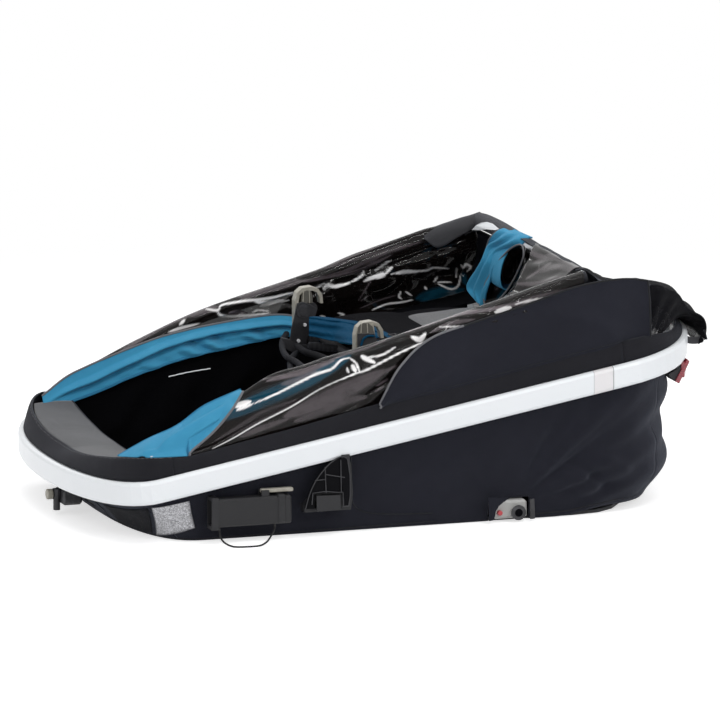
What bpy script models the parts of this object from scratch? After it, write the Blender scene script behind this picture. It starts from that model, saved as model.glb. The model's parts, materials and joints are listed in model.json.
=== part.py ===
"""Child bike trailer, stored flat: folded, with its wheels, tow arm and push bar taken off. Metres, +Z up.
The nose points to -X, the left side is -Y.
The origin lies on the floor's underside, below the ring's centre."""

import math

import bmesh
import bpy
from mathutils import Matrix, Vector

# Clearances and walls
GAP = 0.0003
CLOTH = 0.0024
VINYL = 0.0016
WEB = 0.002

# Ring: the white band that carries everything, seen from above as a long rounded outline
RING_HALF_WIDTH = 0.34
RING_NOSE_X = -0.467
RING_NOSE_DEPTH = 0.110
RING_NOSE_POWER = 2.15
RING_TAIL_X = 0.382
RING_TAIL_DEPTH = 0.195
RING_TAIL_POWER = 2.5
RING_TOP_Z = 0.2054
RING_SLOPE = 0.1791
RING_HEIGHT = 0.0418
RING_THICKNESS = 0.020
RING_SHOULDER = 0.0065
SEAM_X = 0.367

# Lower body
BASE_HALF_WIDTH = RING_HALF_WIDTH - 0.044
BASE_NOSE_X = -0.370
BASE_NOSE_DEPTH = 0.105
BASE_TAIL_X = 0.310
BASE_TAIL_DEPTH = 0.150
BASE_POWER = 2.5
SKIRT_INSET = 0.024
SKIRT_TAIL_INSET = 0.052
SKIRT_BULGE = 0.012
SKIRT_FOLD = 0.007
FLOOR_THICKNESS = 0.006
RIM_HEIGHT = 0.036
RIM_SEAT = 0.0007
RIM_NOSE_HEIGHT = 0.012
RIM_TAIL_HEIGHT = 0.012
RIM_FOOT_INSET = 0.010
RIM_LEAN = 0.012
RIM_NOSE_LEAN = 0.036
NOSE_PANEL_X = -0.4345
NOSE_PANEL_HALF_WIDTH = RING_HALF_WIDTH - 0.072

# Lower frame
TUBE_RADIUS = 0.009
SIDE_TUBE_Y = BASE_HALF_WIDTH - 0.034
SIDE_TUBE_FRONT_X = -0.400
SIDE_TUBE_REAR_X = 0.385
POST_X = -0.330
POST_RADIUS = 0.006
AXLE_X = 0.196
AXLE_RADIUS = 0.0125

# Roof frame: hinged at the nose, lying on the body
ROOF_HINGE_X = -0.470
ROOF_HINGE_Z = 0.150
BEAM_RADIUS = 0.008
CROSSBAR_X = 0.330
CROSSBAR_Z = 0.426
CROSSBAR_RADIUS = 0.009

# Seat-back uprights: hinged at the ring's rear, lying forward
UPRIGHT_HINGE_X = 0.420
UPRIGHT_HINGE_Z = 0.262
UPRIGHT_HINGE_Y = 0.205
UPRIGHT_RADIUS = 0.008
UPRIGHT_FRONT_X = -0.010
UPRIGHT_FRONT_Z = 0.256
CLAW_Y = 0.170
CLAW_PIVOT_Z = 0.300
CLAW_WIDTH = 0.018

COLLECTION = "child_bike_trailer"
CUTTERS = "cutters"


# Scene, collections and materials


def clear_scene():
    for obj in list(bpy.data.objects):
        bpy.data.objects.remove(obj, do_unlink=True)


def new_collection(name):
    collection = bpy.data.collections.new(name)
    bpy.context.scene.collection.children.link(collection)
    return collection


def material(name, colour, roughness, metallic=0.0):
    made = bpy.data.materials.new(name)
    made.use_nodes = True
    shader = made.node_tree.nodes["Principled BSDF"]
    shader.inputs["Base Color"].default_value = (*colour, 1.0)
    shader.inputs["Roughness"].default_value = roughness
    shader.inputs["Metallic"].default_value = metallic
    return made


FINISHES = {
    "ring_white": ((0.80, 0.83, 0.86), 0.35, 0.0),
    "black_cloth": ((0.018, 0.018, 0.025), 0.85, 0.0),
    "grey_cloth": ((0.10, 0.10, 0.105), 0.8, 0.0),
    "blue_cloth": ((0.03, 0.26, 0.45), 0.75, 0.0),
    "tinted_vinyl": ((0.02, 0.02, 0.022), 0.12, 0.0),
    "mesh_cloth": ((0.012, 0.012, 0.014), 0.9, 0.0),
    "black_plastic": ((0.02, 0.02, 0.022), 0.45, 0.0),
    "grey_plastic": ((0.42, 0.41, 0.36), 0.45, 0.0),
    "red_lens": ((0.45, 0.02, 0.03), 0.15, 0.0),
    "aluminium": ((0.62, 0.63, 0.65), 0.35, 1.0),
    "steel": ((0.5, 0.5, 0.52), 0.3, 1.0),
}


def finish(obj, name):
    """Gives the object its own copy of one of the finishes."""
    colour, roughness, metallic = FINISHES[name]
    obj.data.materials.clear()
    obj.data.materials.append(material(f"{name}_{obj.name}", colour, roughness, metallic))
    return obj


# Making and joining solids


def add_object(name, data, collection=COLLECTION):
    obj = bpy.data.objects.new(name, data)
    bpy.data.collections[collection].objects.link(obj)
    return obj


def mesh_object(name, bm, collection=COLLECTION):
    bmesh.ops.recalc_face_normals(bm, faces=bm.faces)
    mesh = bpy.data.meshes.new(name)
    bm.to_mesh(mesh)
    bm.free()
    return add_object(name, mesh, collection)


def block(name, low, high, edge=0.0, segments=2, collection=COLLECTION, at=None):
    """A box between two corners, with rounded edges where an edge width is given.
    With at, the corners are measured from that point, which becomes the object's origin."""
    size = Vector(high) - Vector(low)
    middle = (Vector(high) + Vector(low)) / 2
    bm = bmesh.new()
    bmesh.ops.create_cube(bm, size=1.0)
    bmesh.ops.scale(bm, vec=size, verts=bm.verts)
    if edge:
        bmesh.ops.bevel(bm, geom=list(bm.edges), offset=edge, segments=segments, affect="EDGES", profile=0.5)
    if at is not None:
        bmesh.ops.translate(bm, vec=middle, verts=bm.verts)
    obj = mesh_object(name, bm, collection)
    obj.location = middle if at is None else at
    return obj


def drum(name, middle, axis, radius, length, sides=24, edge=0.0, top_radius=None, collection=COLLECTION):
    """A cylinder or cone about an axis, centred on a point."""
    bm = bmesh.new()
    top = radius if top_radius is None else top_radius
    bmesh.ops.create_cone(bm, cap_ends=True, segments=sides, radius1=radius, radius2=top, depth=length)
    if edge:
        rims = [e for e in bm.edges if abs(e.verts[0].co.z - e.verts[1].co.z) < 1e-6]
        bmesh.ops.bevel(bm, geom=rims, offset=edge, segments=2, affect="EDGES", profile=0.5)
    turn = Vector((0, 0, 1)).rotation_difference(Vector(axis)).to_matrix().to_4x4()
    bmesh.ops.transform(bm, matrix=turn, verts=bm.verts)
    obj = mesh_object(name, bm, collection)
    obj.location = middle
    return obj


def as_mesh(curve_object, name, collection=COLLECTION):
    """The curve object made a mesh, with its caps welded to its sides."""
    graph = bpy.context.evaluated_depsgraph_get()
    mesh = bpy.data.meshes.new_from_object(curve_object.evaluated_get(graph))
    bm = bmesh.new()
    bm.from_mesh(mesh)
    bmesh.ops.remove_doubles(bm, verts=bm.verts, dist=1e-5)
    bmesh.ops.recalc_face_normals(bm, faces=bm.faces)
    bm.to_mesh(mesh)
    bm.free()
    place = curve_object.matrix_world.copy()
    bpy.data.objects.remove(curve_object, do_unlink=True)
    obj = add_object(name, mesh, collection)
    obj.matrix_world = place
    return obj


def tube(name, points, radius, resolution=2, collection=COLLECTION):
    """A round tube along a chain of points."""
    curve = bpy.data.curves.new(name, "CURVE")
    curve.dimensions = "3D"
    spline = curve.splines.new("POLY")
    spline.points.add(len(points) - 1)
    for spot, place in zip(spline.points, points):
        spot.co = (*place, 1.0)
    curve.bevel_depth = radius
    curve.bevel_resolution = resolution
    curve.use_fill_caps = True
    return add_object(name, curve, collection)


def plate(name, outline, thickness, place, collection=COLLECTION):
    """A flat outline given in its own plane, extruded by its thickness. place is its matrix."""
    curve = bpy.data.curves.new(name, "CURVE")
    curve.dimensions = "2D"
    curve.fill_mode = "BOTH"
    curve.extrude = thickness / 2
    spline = curve.splines.new("POLY")
    spline.points.add(len(outline) - 1)
    for spot, (x, y) in zip(spline.points, outline):
        spot.co = (x, y, 0.0, 1.0)
    spline.use_cyclic_u = True
    obj = add_object(name, curve, collection)
    obj.matrix_world = place
    bpy.context.view_layer.update()
    return as_mesh(obj, name, collection)


def side_plane(y):
    """The plane of a plate that stands along the side at this Y: its x runs along X, its y up."""
    return Matrix.Translation((0, y, 0)) @ Matrix.Rotation(math.radians(90), 4, "X")


def hide(obj):
    obj.hide_render = True
    obj.display_type = "WIRE"
    return obj


def combine(target, other, operation):
    hide(other)
    modifier = target.modifiers.new(f"{operation.lower()}_{other.name}", "BOOLEAN")
    modifier.operation = operation
    modifier.object = other
    modifier.solver = "EXACT"
    return target


def join(target, *others):
    for other in others:
        combine(target, other, "UNION")
    return target


def cut(target, *others):
    for other in others:
        combine(target, other, "DIFFERENCE")
    return target


def sheet(name, rows, thickness, colour, smooth=True):
    """A cloth or panel through a grid of points, given thickness on both sides of it."""
    bm = bmesh.new()
    grid = [[bm.verts.new(point) for point in row] for row in rows]
    for lower, upper in zip(grid, grid[1:]):
        for i in range(len(lower) - 1):
            bm.faces.new((lower[i], lower[i + 1], upper[i + 1], upper[i]))
    obj = mesh_object(name, bm)
    solid = obj.modifiers.new("thickness", "SOLIDIFY")
    solid.thickness = thickness
    solid.offset = 0.0
    solid.use_even_offset = False
    if smooth:
        obj.data.shade_smooth()
    return finish(obj, colour)


def smooth_path(points, steps):
    """Points on a smooth curve through the given ones."""
    chain = [Vector(p) for p in points]
    ends = [2 * chain[0] - chain[1]] + chain + [2 * chain[-1] - chain[-2]]
    found = []
    for i in range(1, len(ends) - 2):
        a, b, c, d = ends[i - 1 : i + 3]
        for k in range(steps):
            t = k / steps
            found.append(
                b
                + 0.5 * (c - a) * t
                + 0.5 * (2 * a - 5 * b + 4 * c - d) * t * t
                + 0.5 * (3 * b - a - 3 * c + d) * t**3
            )
    found.append(chain[-1])
    return found


def ease(t):
    t = min(max(t, 0.0), 1.0)
    return t * t * (3 - 2 * t)


def mix(a, b, t):
    return a + (b - a) * t


def along(table, x):
    """The value at x of a curve given by a few (x, value) points."""
    if x <= table[0][0]:
        return table[0][1]
    for (x0, v0), (x1, v1) in zip(table, table[1:]):
        if x <= x1:
            return mix(v0, v1, (x - x0) / (x1 - x0))
    return table[-1][1]


# Outlines


def ring_top(x):
    return RING_TOP_Z + RING_SLOPE * x


def ring_bottom(x):
    return ring_top(x) - RING_HEIGHT


def arc_point(centre, depth, half_width, power, turn):
    """A point of a rounded end: turn 0 is its tip, turn pi/2 is where it meets the straight side."""
    x = centre + depth * math.cos(turn) ** (2 / power)
    return x, half_width * math.sin(turn) ** (2 / power)


def ring_outline(inset, nose_steps=10, side_steps=4, tail_steps=8, from_x=None, to_x=None):
    """Half of the ring's outline at Y >= 0, from the nose's tip to the tail's, moved inward by the inset."""
    half = RING_HALF_WIDTH - inset
    points = []
    for k in range(nose_steps + 1):
        turn = math.pi / 2 * k / nose_steps
        points.append(arc_point(RING_NOSE_X, -(RING_NOSE_DEPTH - inset), half, RING_NOSE_POWER, turn))
    for k in range(1, side_steps):
        points.append((mix(RING_NOSE_X, RING_TAIL_X, k / side_steps), half))
    for k in range(tail_steps + 1):
        turn = math.pi / 2 * (1 - k / tail_steps)
        points.append(arc_point(RING_TAIL_X, RING_TAIL_DEPTH - inset, half, RING_TAIL_POWER, turn))
    if from_x is not None:
        points = [(from_x, half)] + [p for p in points if p[0] > from_x + 1e-4]
    if to_x is not None:
        points = [p for p in points if p[0] < to_x - 1e-4] + [(to_x, half)]
    return points


def mirrored(half):
    """The whole outline, from the left side round the first point to the right side."""
    return [(x, -y) for x, y in reversed(half[1:])] + list(half)


# Ring


def band_profile():
    """The band's section: upright, with rounded shoulders."""
    half_x = RING_THICKNESS / 2
    half_y = RING_HEIGHT / 2
    corners = []
    for corner_x, corner_y, start in ((1, -1, -90), (1, 1, 0), (-1, 1, 90), (-1, -1, 180)):
        for turn in (start, start + 45, start + 90):
            angle = math.radians(turn)
            x = corner_x * (half_x - RING_SHOULDER) + RING_SHOULDER * math.cos(angle)
            y = corner_y * (half_y - RING_SHOULDER) + RING_SHOULDER * math.sin(angle)
            corners.append((x, y))
    curve = bpy.data.curves.new("band_profile", "CURVE")
    curve.dimensions = "2D"
    spline = curve.splines.new("POLY")
    spline.points.add(len(corners) - 1)
    for spot, (x, y) in zip(spline.points, corners):
        spot.co = (x, y, 0.0, 1.0)
    spline.use_cyclic_u = True
    return hide(add_object("band_profile", curve, CUTTERS))


def band(name, outline, profile):
    """A stretch of the band along an outline of its middle line."""
    curve = bpy.data.curves.new(name, "CURVE")
    curve.dimensions = "3D"
    curve.twist_mode = "Z_UP"
    curve.bevel_mode = "OBJECT"
    curve.bevel_object = profile
    curve.use_fill_caps = True
    spline = curve.splines.new("POLY")
    spline.points.add(len(outline) - 1)
    for spot, (x, y) in zip(spline.points, outline):
        spot.co = (x, y, ring_top(x) - RING_HEIGHT / 2, 1.0)
    bpy.context.view_layer.update()
    obj = as_mesh(add_object(name, curve), name)
    obj.data.shade_smooth()
    return finish(obj, "ring_white")


def make_ring():
    profile = band_profile()
    middle = RING_THICKNESS / 2
    front = ring_outline(middle, nose_steps=12, side_steps=2, to_x=SEAM_X - GAP / 2)
    band("ring_front", mirrored(front), profile)
    rear = ring_outline(middle, tail_steps=12, from_x=SEAM_X + GAP / 2)
    band("ring_rear", mirrored(list(reversed(rear))), profile)
    for side, name in ((-1, "left"), (1, "right")):
        inner = RING_HALF_WIDTH - RING_THICKNESS - GAP
        joiner = block(
            f"joiner_{name}",
            (-0.042, -0.0015, -0.013),
            (0.012, 0.0015, 0.013),
            edge=0.001,
            segments=1,
            at=(SEAM_X, side * (inner - 0.0016), ring_top(SEAM_X) - RING_HEIGHT / 2),
        )
        joiner.rotation_euler = (0, -math.atan(RING_SLOPE), 0)
        bpy.context.view_layer.update()
        for reach in (-0.030, -0.008):
            label = f"joiner_screw_{name}_{-reach:.3f}"
            head = drum(label, (0, 0, 0), (0, side, 0), 0.004, 0.004, 10, collection=CUTTERS)
            head.parent = joiner
            head.location = (reach, -side * 0.003, 0)
            join(joiner, head)
        finish(joiner, "steel")


# Lower body


def socket_z():
    """The height of the axle tube, which lies on the floor pan, and of the wheel sockets on its ends."""
    return FLOOR_THICKNESS + GAP + AXLE_RADIUS


def side_tube_z():
    """The side tubes lie on the axle tube."""
    return socket_z() + AXLE_RADIUS + GAP + TUBE_RADIUS


def base_outline(inset, nose_steps=8, side_steps=8, tail_steps=8):
    half = BASE_HALF_WIDTH - inset
    points = []
    for k in range(nose_steps + 1):
        turn = math.pi / 2 * k / nose_steps
        points.append(arc_point(BASE_NOSE_X, -(BASE_NOSE_DEPTH - inset), half, BASE_POWER, turn))
    for k in range(1, side_steps):
        points.append((mix(BASE_NOSE_X, BASE_TAIL_X, k / side_steps), half))
    for k in range(tail_steps + 1):
        turn = math.pi / 2 * (1 - k / tail_steps)
        points.append(arc_point(BASE_TAIL_X, BASE_TAIL_DEPTH - inset, half, BASE_POWER, turn))
    return points


def skirt_top_outline(nose_steps, side_steps, tail_steps):
    """Where the lower cloth meets the ring's inner side, a little above its lower edge."""
    half = ring_outline(SKIRT_INSET, nose_steps, side_steps, tail_steps)
    pulled = []
    for x, y in half:
        extra = (SKIRT_TAIL_INSET - SKIRT_INSET) * ease((x - RING_TAIL_X) / RING_TAIL_DEPTH)
        pulled.append((x - extra, y))
    return pulled


def skirt_rows(first, last, levels=7, nose_steps=8, side_steps=8, tail_steps=8):
    """Rows of the lower cloth from the floor's edge up to the ring, between two points of the outline."""
    low = base_outline(0.0, nose_steps, side_steps, tail_steps)[first : last + 1]
    high = skirt_top_outline(nose_steps, side_steps, tail_steps)[first : last + 1]
    rows = []
    for level in range(levels + 1):
        v = level / levels
        row = []
        for (x0, y0), (x1, y1) in zip(low, high):
            top = ring_bottom(x1) + 0.008
            x = mix(x0, x1, v)
            y = mix(y0, y1, v)
            z = mix(0.0015, top, v)
            tail = ease((x - 0.25) / 0.2)
            out = SKIRT_BULGE * math.sin(math.pi * v) * (1.3 * tail - 0.15)
            rise = z - socket_z()
            fan = math.sin(16 * math.atan2(rise, x - AXLE_X + 0.02)) * ease((x - AXLE_X) / 0.12)
            out += SKIRT_FOLD * fan * math.sin(math.pi * v) * ease((y - 0.1) / 0.1)
            radial = Vector((x * abs(x) ** 2 * 6, y, 0)).normalized()
            row.append((x + radial.x * out, y + radial.y * out, z))
        rows.append(row)
    return rows


def flip_rows(rows):
    return [[(x, -y, z) for x, y, z in row] for row in rows]


def make_skirts():
    nose_end = 7
    side_end = 19
    last = 24
    for side, name in ((-1, "left"), (1, "right")):
        rows = skirt_rows(nose_end, side_end)
        rows = [clipped(row, 0.0012) for row in rows]
        if side < 0:
            rows = flip_rows(rows)
        skirt = sheet(f"side_skirt_{name}", rows, CLOTH, "black_cloth")
        low, high = sorted((side * 0.24, side * 0.36))
        arch = block(
            f"socket_arch_{name}",
            (AXLE_X - 0.048, low, -0.010),
            (AXLE_X + 0.026, high, socket_z() + 0.0225),
            collection=CUTTERS,
        )
        cut(skirt, arch)
    for name, first, end in (("nose_skirt", 0, nose_end), ("rear_skirt", side_end, last)):
        rows = skirt_rows(first, end)
        if name == "nose_skirt":
            rows = [[(x, -y, z) for x, y, z in reversed(row[1:])] + row for row in rows]
        else:
            rows = [row + [(x, -y, z) for x, y, z in reversed(row[:-1])] for row in rows]
        skirt = sheet(name, rows, CLOTH, "black_cloth")
        if name == "nose_skirt":
            hole = block("mount_hole", (-0.58, -0.0265, 0.0150), (-0.45, 0.0265, 0.0530), collection=CUTTERS)
            cut(skirt, hole)


def clipped(row, distance):
    """The row with its two ends drawn in by a distance, so that it clears its neighbours."""
    points = [Vector(p) for p in row]
    points[0] = points[0] + (points[1] - points[0]).normalized() * distance
    points[-1] = points[-1] + (points[-2] - points[-1]).normalized() * distance
    return [tuple(p) for p in points]


def make_floor():
    outline = base_outline(CLOTH + 0.004, 6, 2, 6)
    place = Matrix.Translation((0, 0, FLOOR_THICKNESS / 2))
    floor = plate("floor_pan", mirrored(outline)[:-1], FLOOR_THICKNESS, place)
    finish(floor, "black_plastic")


# Rim and nose panel


def rim_height(x):
    """How far the rim stands up beside the cabin: less at the tail."""
    return mix(RIM_HEIGHT, RIM_TAIL_HEIGHT, tail_share(x))


def tail_share(x):
    return ease((x - RING_TAIL_X - 0.02) / 0.10)


def rim_rows(points, side=1):
    rows = []
    for v in (0.0, 0.5, 1.0):
        row = []
        for x, y in points:
            nose = 1 - ease((x + RING_NOSE_DEPTH - RING_NOSE_X) / RING_NOSE_DEPTH)
            lean = mix(RIM_LEAN, RIM_NOSE_LEAN, nose) * v
            height = mix(rim_height(x), RIM_NOSE_HEIGHT, nose) * ease(v * 1.6)
            direction = Vector((x - RING_NOSE_X if x < RING_NOSE_X else 0.0, y)).normalized()
            if x > RING_TAIL_X:
                direction = Vector(((x - RING_TAIL_X) * 2, y)).normalized()
            base = ring_top(x) + RIM_SEAT + 0.0010 * max(nose, tail_share(x))
            row.append((x - direction.x * lean, side * (y - direction.y * lean), base + height))
        rows.append(row)
    return rows


def make_rim():
    front = ring_outline(RIM_FOOT_INSET, nose_steps=10, side_steps=2, to_x=RING_NOSE_X + 0.03)
    rows = rim_rows(front)
    rows = [[(x, -y, z) for x, y, z in reversed(row[1:])] + row for row in rows]
    sheet("nose_rim", rows, CLOTH, "black_cloth")
    half = RING_HALF_WIDTH - RIM_FOOT_INSET
    for side, name in ((-1, "left"), (1, "right")):
        line = [(mix(RING_NOSE_X + 0.0335, RING_TAIL_X, k / 6), half) for k in range(7)]
        sheet(f"side_rim_{name}", rim_rows(line, side), CLOTH, "black_cloth")
    tail = ring_outline(RIM_FOOT_INSET, tail_steps=8, from_x=RING_TAIL_X + 0.0035)
    tail = list(reversed(tail))
    rows = rim_rows(tail)
    rows = [[(x, -y, z) for x, y, z in reversed(row[1:])] + row for row in rows]
    sheet("rear_rim", rows, CLOTH, "black_cloth")


def make_nose_panel():
    """The stiff grey panel inside the nose, from the rim's top edge to the cabin's mouth."""
    steps = 10
    rows = []
    outer_inset = RIM_FOOT_INSET + RIM_NOSE_LEAN + 0.0030
    for v in (0.0, 0.35, 0.7, 1.0):
        row = []
        for k in range(-steps, steps + 1):
            turn = math.pi / 2 * abs(k) / steps * 0.86
            side = -1 if k < 0 else 1
            half = RING_HALF_WIDTH - mix(outer_inset, outer_inset - 0.008, abs(k) / steps)
            x0, y0 = arc_point(RING_NOSE_X, -(RING_NOSE_DEPTH - outer_inset), half, RING_NOSE_POWER, turn)
            x1, y1 = arc_point(NOSE_PANEL_X + 0.06, -0.06, NOSE_PANEL_HALF_WIDTH, 2.2, turn)
            edge = ring_top(x0) + mix(0.011, 0.024, abs(k) / steps)
            sag = 0.010 * v * v * (1 - abs(k) / steps)
            row.append((mix(x0, x1, v), side * mix(y0, y1, v), edge - sag + 0.004 * math.sin(math.pi * v)))
        rows.append(row)
    sheet("nose_panel", rows, 0.003, "grey_cloth")


# Lower frame


def make_lower_frame():
    tube_z = side_tube_z()
    for side, name in ((-1, "left"), (1, "right")):
        y = side * SIDE_TUBE_Y
        run = [(SIDE_TUBE_FRONT_X, y, tube_z), (SIDE_TUBE_REAR_X, y, tube_z)]
        finish(tube(f"side_tube_{name}", run, TUBE_RADIUS), "aluminium")
        foot = tube_z + TUBE_RADIUS + GAP
        top = ring_bottom(POST_X) + 0.004
        post_y = side * (RING_HALF_WIDTH - RING_THICKNESS - 2 * GAP - POST_RADIUS)
        path = [
            (POST_X, y, foot),
            (POST_X, y, foot + 0.020),
            (POST_X, mix(y, post_y, 0.72), top),
            (POST_X, post_y, top + 0.016),
            (POST_X, post_y, top + 0.034),
        ]
        post = as_mesh(tube(f"post_{name}", path, POST_RADIUS), f"ring_post_{name}")
        finish(post, "aluminium")
    reach = SIDE_TUBE_Y - TUBE_RADIUS - GAP
    for x, name in ((SIDE_TUBE_FRONT_X + 0.02, "front"), (SIDE_TUBE_REAR_X - 0.02, "rear")):
        run = [(x, -reach, tube_z), (x, reach, tube_z)]
        finish(tube(f"cross_tube_{name}", run, TUBE_RADIUS), "aluminium")
    axle_z = socket_z()
    axle_end = SOCKET_INNER_Y - GAP
    run = [(AXLE_X, -axle_end, axle_z), (AXLE_X, axle_end, axle_z)]
    finish(tube("axle_tube", run, AXLE_RADIUS, 4), "aluminium")


# Wheel sockets

SOCKET_INNER_Y = BASE_HALF_WIDTH - 0.020
SOCKET_OUTER_Y = BASE_HALF_WIDTH + 0.026
SOCKET_BORE = 0.0065
SOCKET_RING = 0.0105
BUTTON_RADIUS = 0.0045


def make_wheel_sockets():
    """A light grey plate through the cloth, with the bore that the wheel's stub axle plugs into."""
    z = socket_z()
    for side, name in ((-1, "left"), (1, "right")):
        low, high = sorted((side * SOCKET_INNER_Y, side * (SOCKET_OUTER_Y - 0.006)))
        low_corner = (AXLE_X - 0.043, low, z - 0.0120)
        high_corner = (AXLE_X + 0.019, high, z + 0.0200)
        body = block(f"wheel_socket_{name}", low_corner, high_corner, 0.004, 1)
        ring_place = (AXLE_X, side * (SOCKET_OUTER_Y - 0.007), z)
        bore_place = (AXLE_X, side * (SOCKET_OUTER_Y - 0.015), z)
        well_place = (AXLE_X - 0.033, side * (SOCKET_OUTER_Y - 0.010), z)
        well_radius = BUTTON_RADIUS + GAP
        ring = drum(f"hub_ring_{name}", ring_place, (0, 1, 0), SOCKET_RING, 0.014, 20, collection=CUTTERS)
        bore = drum(f"hub_bore_{name}", bore_place, (0, 1, 0), SOCKET_BORE, 0.034, 16, collection=CUTTERS)
        well = drum(f"button_well_{name}", well_place, (0, 1, 0), well_radius, 0.018, 14, collection=CUTTERS)
        join(body, ring)
        cut(body, bore, well)
        finish(body, "grey_plastic")
        button = drum(f"release_button_{name}", (0, 0, 0), (0, side, 0), BUTTON_RADIUS, 0.012, 14, 0.001)
        face = SOCKET_OUTER_Y - 0.006
        button.location = (AXLE_X - 0.033, side * (face + 0.0005), z)
        finish(button, "red_lens")


# Tow arm receptacle with its lever and lanyard

TOW_FRONT_X = -0.372
TOW_REAR_X = -0.2285
TOW_LOW_Z = 0.030
TOW_HIGH_Z = 0.080
TOW_INNER_Y = BASE_HALF_WIDTH + 0.0156
TOW_OUTER_Y = BASE_HALF_WIDTH + 0.044
TOW_WALL = 0.003
LEVER_X = -0.276
LEVER_Z = 0.0875


def make_tow_receptacle():
    low_corner = (TOW_FRONT_X, -TOW_OUTER_Y, TOW_LOW_Z)
    high_corner = (TOW_REAR_X, -TOW_INNER_Y, TOW_HIGH_Z)
    body = block("tow_receptacle", low_corner, high_corner, 0.003, 1)
    mouth = block(
        "tow_mouth",
        (TOW_FRONT_X - 0.01, -TOW_OUTER_Y + TOW_WALL, TOW_LOW_Z + TOW_WALL),
        (TOW_REAR_X - 0.030, -TOW_INNER_Y - TOW_WALL, TOW_HIGH_Z - TOW_WALL),
        collection=CUTTERS,
    )
    flare = block(
        "tow_flare",
        (TOW_FRONT_X - 0.004, -TOW_OUTER_Y - 0.0015, TOW_LOW_Z - 0.004),
        (TOW_FRONT_X + 0.008, -TOW_INNER_Y - 0.0020, TOW_HIGH_Z + 0.0035),
        collection=CUTTERS,
    )
    clamp = block(
        "tow_clamp",
        (TOW_REAR_X - 0.026, -TOW_OUTER_Y - 0.002, TOW_LOW_Z + 0.002),
        (TOW_REAR_X - 0.012, -TOW_INNER_Y - 0.0015, TOW_HIGH_Z + 0.0027),
        edge=0.002,
        segments=1,
        collection=CUTTERS,
    )
    ears = [
        block(
            f"lever_ear_{k}",
            (LEVER_X - 0.007, y - 0.002, TOW_HIGH_Z - 0.006),
            (LEVER_X + 0.007, y + 0.002, LEVER_Z + 0.003),
            collection=CUTTERS,
        )
        for k, y in enumerate((-TOW_OUTER_Y + 0.006, -TOW_INNER_Y - 0.006))
    ]
    join(body, flare, clamp, *ears)
    cut(body, mouth)
    finish(body, "black_plastic")
    middle_y = -(TOW_OUTER_Y + TOW_INNER_Y) / 2
    half = (TOW_OUTER_Y - TOW_INNER_Y) / 2 - 0.008 - GAP - 0.0002
    low, high = (-0.0060, -half, -0.0035), (0.0530, half, 0.0035)
    lever = block("tow_lock_lever", low, high, 0.0015, 1, at=(LEVER_X, middle_y, LEVER_Z + 0.001))
    finish(lever, "grey_plastic")


LANYARD_RADIUS = 0.0013
LANYARD_ROUTE = (
    (-0.3600, -0.3325, 0.0240),
    (-0.3610, -0.3400, 0.0165),
    (-0.3605, -0.3510, 0.0098),
    (-0.3550, -0.3640, 0.0045),
    (-0.3440, -0.3740, 0.0018),
    (-0.3230, -0.3790, 0.0017),
    (-0.3005, -0.3775, 0.0018),
    (-0.2850, -0.3680, 0.0050),
    (-0.2724, -0.3530, 0.0110),
    (-0.2620, -0.3400, 0.0185),
    (-0.2580, -0.3325, 0.0240),
)


def make_lanyard():
    """The wire loop between the receptacle's two ends, which hangs down and lies on the floor beside it."""
    top = TOW_LOW_Z - GAP
    ends = [(x, y, top) for x, y, _ in (LANYARD_ROUTE[0], LANYARD_ROUTE[-1])]
    points = [ends[0]] + smooth_path(LANYARD_ROUTE, 3) + [ends[1]]
    finish(tube("tow_lanyard", points, LANYARD_RADIUS, 1), "steel")


# Side bracket with its latch button

BRACKET_FRONT_X = -0.203
BRACKET_REAR_X = -0.118
BRACKET_LOW_Z = 0.046
BRACKET_HIGH_Z = 0.1365
BRACKET_INNER_Y = BASE_HALF_WIDTH + 0.0202
BRACKET_OUTER_Y = BASE_HALF_WIDTH + 0.0380


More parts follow.
